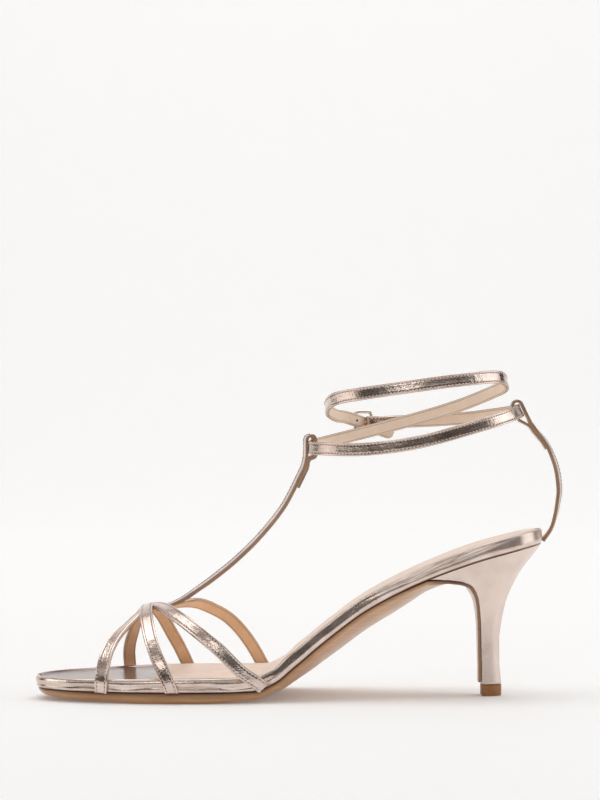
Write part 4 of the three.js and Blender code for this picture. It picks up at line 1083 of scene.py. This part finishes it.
# Back strap: a slightly broader strap that is let in behind the heel seat and rises, bowed
# backwards, to its own loop round the ankle strap.
ankle_height = 139.8 * mm
back_width = 6.4 * mm
back_loop_half = 2.15 * mm
back_loop_tall = 11.4 * mm
back_loop_leg = 3.4 * mm
back_loop_lead = 0.5 * mm
back_lean = -0.44
back_twist = -0.25
back_rows = {
    "behind": [0.002, 0.03, 0.044, 0.0525, 0.0565, 0.0545, 0.048, 0.034, 0.014, -0.0155, -0.0375],
    "height": [0.498, 0.537, 0.579, 0.624, 0.657, 0.69, 0.73, 0.771, 0.813, 0.85, 0.879],
}
back_points = np.stack([heel_back + ankle_height * np.array(back_rows["behind"]),
                        ankle_height * np.array(back_rows["height"])], 1)
back_strap = plane_strap("back_strap_leather", back_points, back_lean, -1, back_width,
                         (back_loop_half, back_loop_tall, back_loop_leg, back_loop_lead), back_twist, 6.4)
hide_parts("back_strap")

# Ankle strap: one long strap that starts at the buckle, goes once round the ankle, through both
# loops, once more round higher up, and ends as the rounded tail that the buckle closes on.
ankle_width = 58 * mm
ankle_lining_nude = (0.98, 0.81, 0.66)
ankle_lining_shade = (0.94, 0.75, 0.6)
ankle_edge_dye = 0.35
ankle_bare_ends = (9 * mm, 4 * mm)
punch_radius = 0.55 * mm
punch_pitch = 6.5 * mm
punch_from, punch_to = -0.95 * mm, 0.75 * mm
punch_edge = 0.02 * mm
# Rows round the ankle: right angles from the back, reach and height as shares of the oval's and the
# ankle's, and how far the band leans. The tail's rows are ahead, away and high in strap widths.
ankle_rows = np.array([
    [-1.22, 1.035, 0.877, 0], [-1, 1.04, 0.881, 0.05], [-0.67, 1.03, 0.891, 0.15],
    [-0.33, 1.01, 0.908, 0.3], [0, 1, 0.917, 0.44], [0.33, 1, 0.899, 0.3], [0.67, 1, 0.861, 0.15],
    [1, 1, 0.817, 0.05], [1.33, 1, 0.795, 0], [1.67, 1, 0.795, 0], [2, 1, 0.8, 0], [2.33, 0.97, 0.813, 0],
    [2.67, 0.91, 0.846, 0.05], [3, 0.88, 0.886, 0.1], [3.33, 0.88, 0.931, 0.15], [3.67, 0.87, 0.976, 0.2],
    [4, 0.867, 1, 0.2], [4.33, 0.9, 1.023, 0.15], [4.67, 0.94, 1.016, 0.2], [5, 0.96, 0.996, 0.2],
    [5.33, 0.93, 0.973, 0.12], [5.67, 0.87, 0.954, -0.05], [6, 0.835, 0.924, -0.1],
    [6.33, 0.865, 0.901, -0.05],
])
tail_rows = np.array([[2.55, -0.41, 0.4], [1.66, -0.3, 0.14], [1.05, 0.1, -0.04], [0.42, 0.52, -0.23],
                      [-0.17, 0.53, -0.43], [-0.85, 0.45, -0.68], [-1.45, 0.43, -0.92]])
blunt_tip = 0.04


def ankle_point(turn, reach, height):
    """The strap's middle on an oval round the ankle; the turn is in right angles from the back."""
    angle = 0.5 * math.pi * turn
    return np.stack([ankle_centre + 0.5 * ankle_length * reach * np.cos(angle),
                     -0.5 * ankle_width * reach * np.sin(angle), ankle_height * height], -1)


def leaning(run, lean):
    """The outward direction of a band that stands upright, tipped by the lean."""
    flat = unit(np.stack([-run[..., 1], run[..., 0], np.zeros(run.shape[:-1])], -1))
    lean = np.asarray(lean)[..., None]
    return flat * np.cos(lean) + np.array([0, 0, 1]) * np.sin(lean)


buckle_origin = ankle_point(*ankle_rows[0, :3])
buckle_forward = unit(buckle_origin - ankle_point(ankle_rows[0, 0] + 0.02, *ankle_rows[0, 1:3]))
buckle_out = leaning(buckle_forward, ankle_rows[1, 3])
buckle_out = buckle_out * np.sign(buckle_out[1])
buckle_out = unit(buckle_out - buckle_forward * (buckle_out @ buckle_forward))
buckle_up = unit(np.cross(buckle_forward, buckle_out))
buckle_up = buckle_up * np.sign(buckle_up[2])


def buckle_spot(ahead, away, high=0.0):
    """A place at the buckle: ahead towards the toe, away from the foot and high."""
    ahead, away, high = np.broadcast_arrays(ahead, away, high)
    return (buckle_origin + ahead[..., None] * buckle_forward + away[..., None] * buckle_out
            + high[..., None] * buckle_up)


tail_places = buckle_spot(*(tail_rows * strap_width).T)
ankle_table = np.concatenate([
    np.concatenate([ankle_point(*ankle_rows[:, :3].T), ankle_rows[:, 3:]], 1),
    np.concatenate([tail_places, np.zeros((len(tail_places), 1))], 1)])
ankle_samples = through_rows(ankle_table, np.linspace(0, len(ankle_table) - 1, 2400))
ankle_places = ankle_samples[:, :3]
ankle_outs = leaning(unit(np.gradient(ankle_places, axis=0)), ankle_samples[:, 3])
tip_left = np.linalg.norm(ankle_places - ankle_places[-1], axis=1) / strap_width + blunt_tip
tip_left = np.where(np.arange(len(tip_left)) > 0.9 * len(tip_left), np.minimum(tip_left, 0.5), 0.5)
ankle_wide = strap_width * np.sqrt(1 - (1 - 2 * tip_left) ** 2)
ankle_lining = lining_leather("ankle_lining", ankle_lining_nude, ankle_lining_shade, 0.5, 200)
ankle_strap = strap_piece("ankle_strap_leather", ankle_places, ankle_outs, ankle_wide,
                          np.full(len(ankle_wide), strap_thickness), 8.1, None, ankle_bare_ends,
                          dye=ankle_edge_dye, backing=ankle_lining)
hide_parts("ankle_strap")

punch_shape = [(punch_from, 0.8 * punch_radius, 0), (punch_from + punch_edge, punch_radius, 0),
               (punch_to - punch_edge, punch_radius, 0), (punch_to, 0.8 * punch_radius, 0)]
ankle_run = np.cumsum(np.linalg.norm(np.gradient(ankle_places, axis=0), axis=1))
punch_start = ankle_run[int(np.argmin(np.linalg.norm(ankle_places - tail_places[1], axis=1)))]
punch_picks = np.searchsorted(ankle_run, punch_start + punch_pitch * np.array([0, 1, 2]))
punch_outs = ankle_outs[punch_picks]
punch_ups = np.broadcast_to([0, 0, 1.0], punch_outs.shape)
punch_rows = [(ankle_places[punch_picks], punch_outs, punch_ups)]
# The punched holes are dark discs of painted shade.
punches = seeds("tail_holes", punch_rows, needle_hole_shade, punch_shape)
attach(punches, "root")

# Fold at the buckle: the strap's skived end wraps the buckle's rear bar and is stitched down on
# the band's inner face.
bar_ahead = 2.5 * mm
bar_away = -0.75 * mm
bar_radius = 0.8 * mm
fold_back = 11 * mm
fold_before = np.array([[-0.68, 0.02], [-0.25, 0.03], [0.14, 0.12]]) * strap_width
fold_after = np.array([[0.14, -0.38], [-0.25, -0.28]]) * strap_width
fold_inside = fold_sink - (strap_thickness + fold_thickness) / 2
fold_narrowing = 0.2 * mm
bar_turn = math.pi * (0.5 - np.linspace(0, 1, 9))
bar_reach = bar_radius + gap + fold_thickness / 2
bar_arc = np.stack([bar_ahead + bar_reach * np.cos(bar_turn), bar_away + bar_reach * np.sin(bar_turn)], 1)
fold_seat = np.array([[fold_before[0, 0], fold_inside], [-fold_back, fold_inside]])
fold_way = smooth_path(np.concatenate([fold_before, bar_arc, fold_after, fold_seat]))
fold_run = unit(np.gradient(fold_way, axis=0))
fold_places = buckle_spot(fold_way[:, 0], fold_way[:, 1])
fold_outs = -fold_run[:, 1:] * buckle_forward + fold_run[:, :1] * buckle_out
strap_piece("buckle_fold", fold_places, fold_outs, np.full(len(fold_way), strap_width - fold_narrowing),
            np.full(len(fold_way), fold_thickness), 9.7)

# Buckle: a small rounded frame of pale plated wire whose rear bar carries the strap and a prong,
# which lies over the far side of the frame; the prong's golden brown is a painted reflection of
# the tan lining.
wire_radius = 0.75 * mm
buckle_height = 9.8 * mm
buckle_length = 7.3 * mm
buckle_corner = 1.7 * mm
buckle_rise = 1.2 * mm
prong_radius = 0.6 * mm
prong_lead = 0.2 * mm
prong_rows = np.array([[0, 0.105], [0.39, 0.456], [0.72, 0.807], [0.95, 1], [1.183, 0.982]])
prong_round_end = 0.08
wire_sides = 20
pale_plate = (0.78, 0.72, 0.64)
# The prong's golden brown is painted reflection of the tan lining.
prong_reflection_gold = (0.72, 0.48, 0.22)
haze_scale = 700
plate_waves = 0.01 * mm


def plated(name, color, roughness):
    """Polished plating with a faint haze."""
    material, tree, shader = new_material(name, color, roughness, 1.0)
    place = node_of(tree, "TexCoord").outputs["Object"]
    haze = node_of(tree, "TexNoise", {"Vector": place}, Scale=haze_scale, Detail=3)
    dull = node_of(tree, "MapRange", {"Value": haze.outputs["Fac"]}, To_Min=roughness - 0.04,
                   To_Max=roughness + 0.1)
    tree.links.new(dull.outputs["Result"], shader.inputs["Roughness"])
    bump = node_of(tree, "Bump", {"Height": haze.outputs["Fac"]}, Strength=0.6, Distance=plate_waves)
    tree.links.new(bump.outputs["Normal"], shader.inputs["Normal"])
    return material


def wire(name, places, up, radius, material, closed):
    """A round wire along a path: circles square to the run, closed on themselves or capped."""
    if closed:
        run = unit(np.roll(places, -1, 0) - np.roll(places, 1, 0))
    else:
        run = unit(np.gradient(places, axis=0))
    a = unit(np.cross(run, up))
    b = np.cross(a, run)
    angle = 2 * math.pi * np.arange(wire_sides) / wire_sides
    radius = np.broadcast_to(radius, len(places))[:, None, None]
    rings = (places[:, None] + radius * np.cos(angle)[:, None] * a[:, None]
             + radius * np.sin(angle)[:, None] * b[:, None])
    if not closed:
        return skin(name, rings, material)
    faces = grid_faces(len(rings) + 1, wire_sides, True) % (len(rings) * wire_sides)
    return put_mesh(name, rings + shoe_shift, [faces], material)


corner_high = buckle_height / 2 - buckle_corner
corner_near = bar_ahead + buckle_corner
corner_far = bar_ahead + buckle_length - buckle_corner
corner_rows = np.array([(corner_far, corner_high), (corner_near, corner_high), (corner_near, -corner_high),
                        (corner_far, -corner_high)])
corner_turn = 0.5 * math.pi * (np.arange(4)[:, None] + np.linspace(0, 1, 9)[None, :])
frame_ahead = corner_rows[:, :1] + buckle_corner * np.cos(corner_turn)
frame_high = corner_rows[:, 1:] + buckle_corner * np.sin(corner_turn)
frame_away = bar_away + buckle_rise * (frame_ahead - bar_ahead) / buckle_length
frame_places = buckle_spot(frame_ahead.ravel(), frame_away.ravel(), frame_high.ravel())
pale_plating = plated("pale_plating", pale_plate, 0.14)
buckle = wire("buckle_wire", frame_places, buckle_out, wire_radius, pale_plating, True)
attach(buckle, "root")
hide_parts("buckle_frame")

prong_root = bar_ahead + bar_radius + gap + prong_lead
prong_rise = buckle_rise + wire_radius + gap + prong_radius
prong_reach = bar_ahead + buckle_length - prong_root
prong_way = smooth_path(np.stack([prong_root + prong_reach * prong_rows[:, 0],
                                  bar_away + prong_rise * prong_rows[:, 1]], 1))
prong_left = np.minimum(np.linspace(1, 0, len(prong_way)) / prong_round_end, 1)
prong_round = prong_radius * np.sqrt(np.clip(1 - (1 - prong_left) ** 2, 0.05, 1))
prong_reflection_plating = plated("prong_reflection_plating", prong_reflection_gold, 0.16)
prong = wire("prong", buckle_spot(prong_way[:, 0], prong_way[:, 1]), buckle_up, prong_round, prong_reflection_plating,
             False)
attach(prong, "root")
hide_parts("buckle_prong")
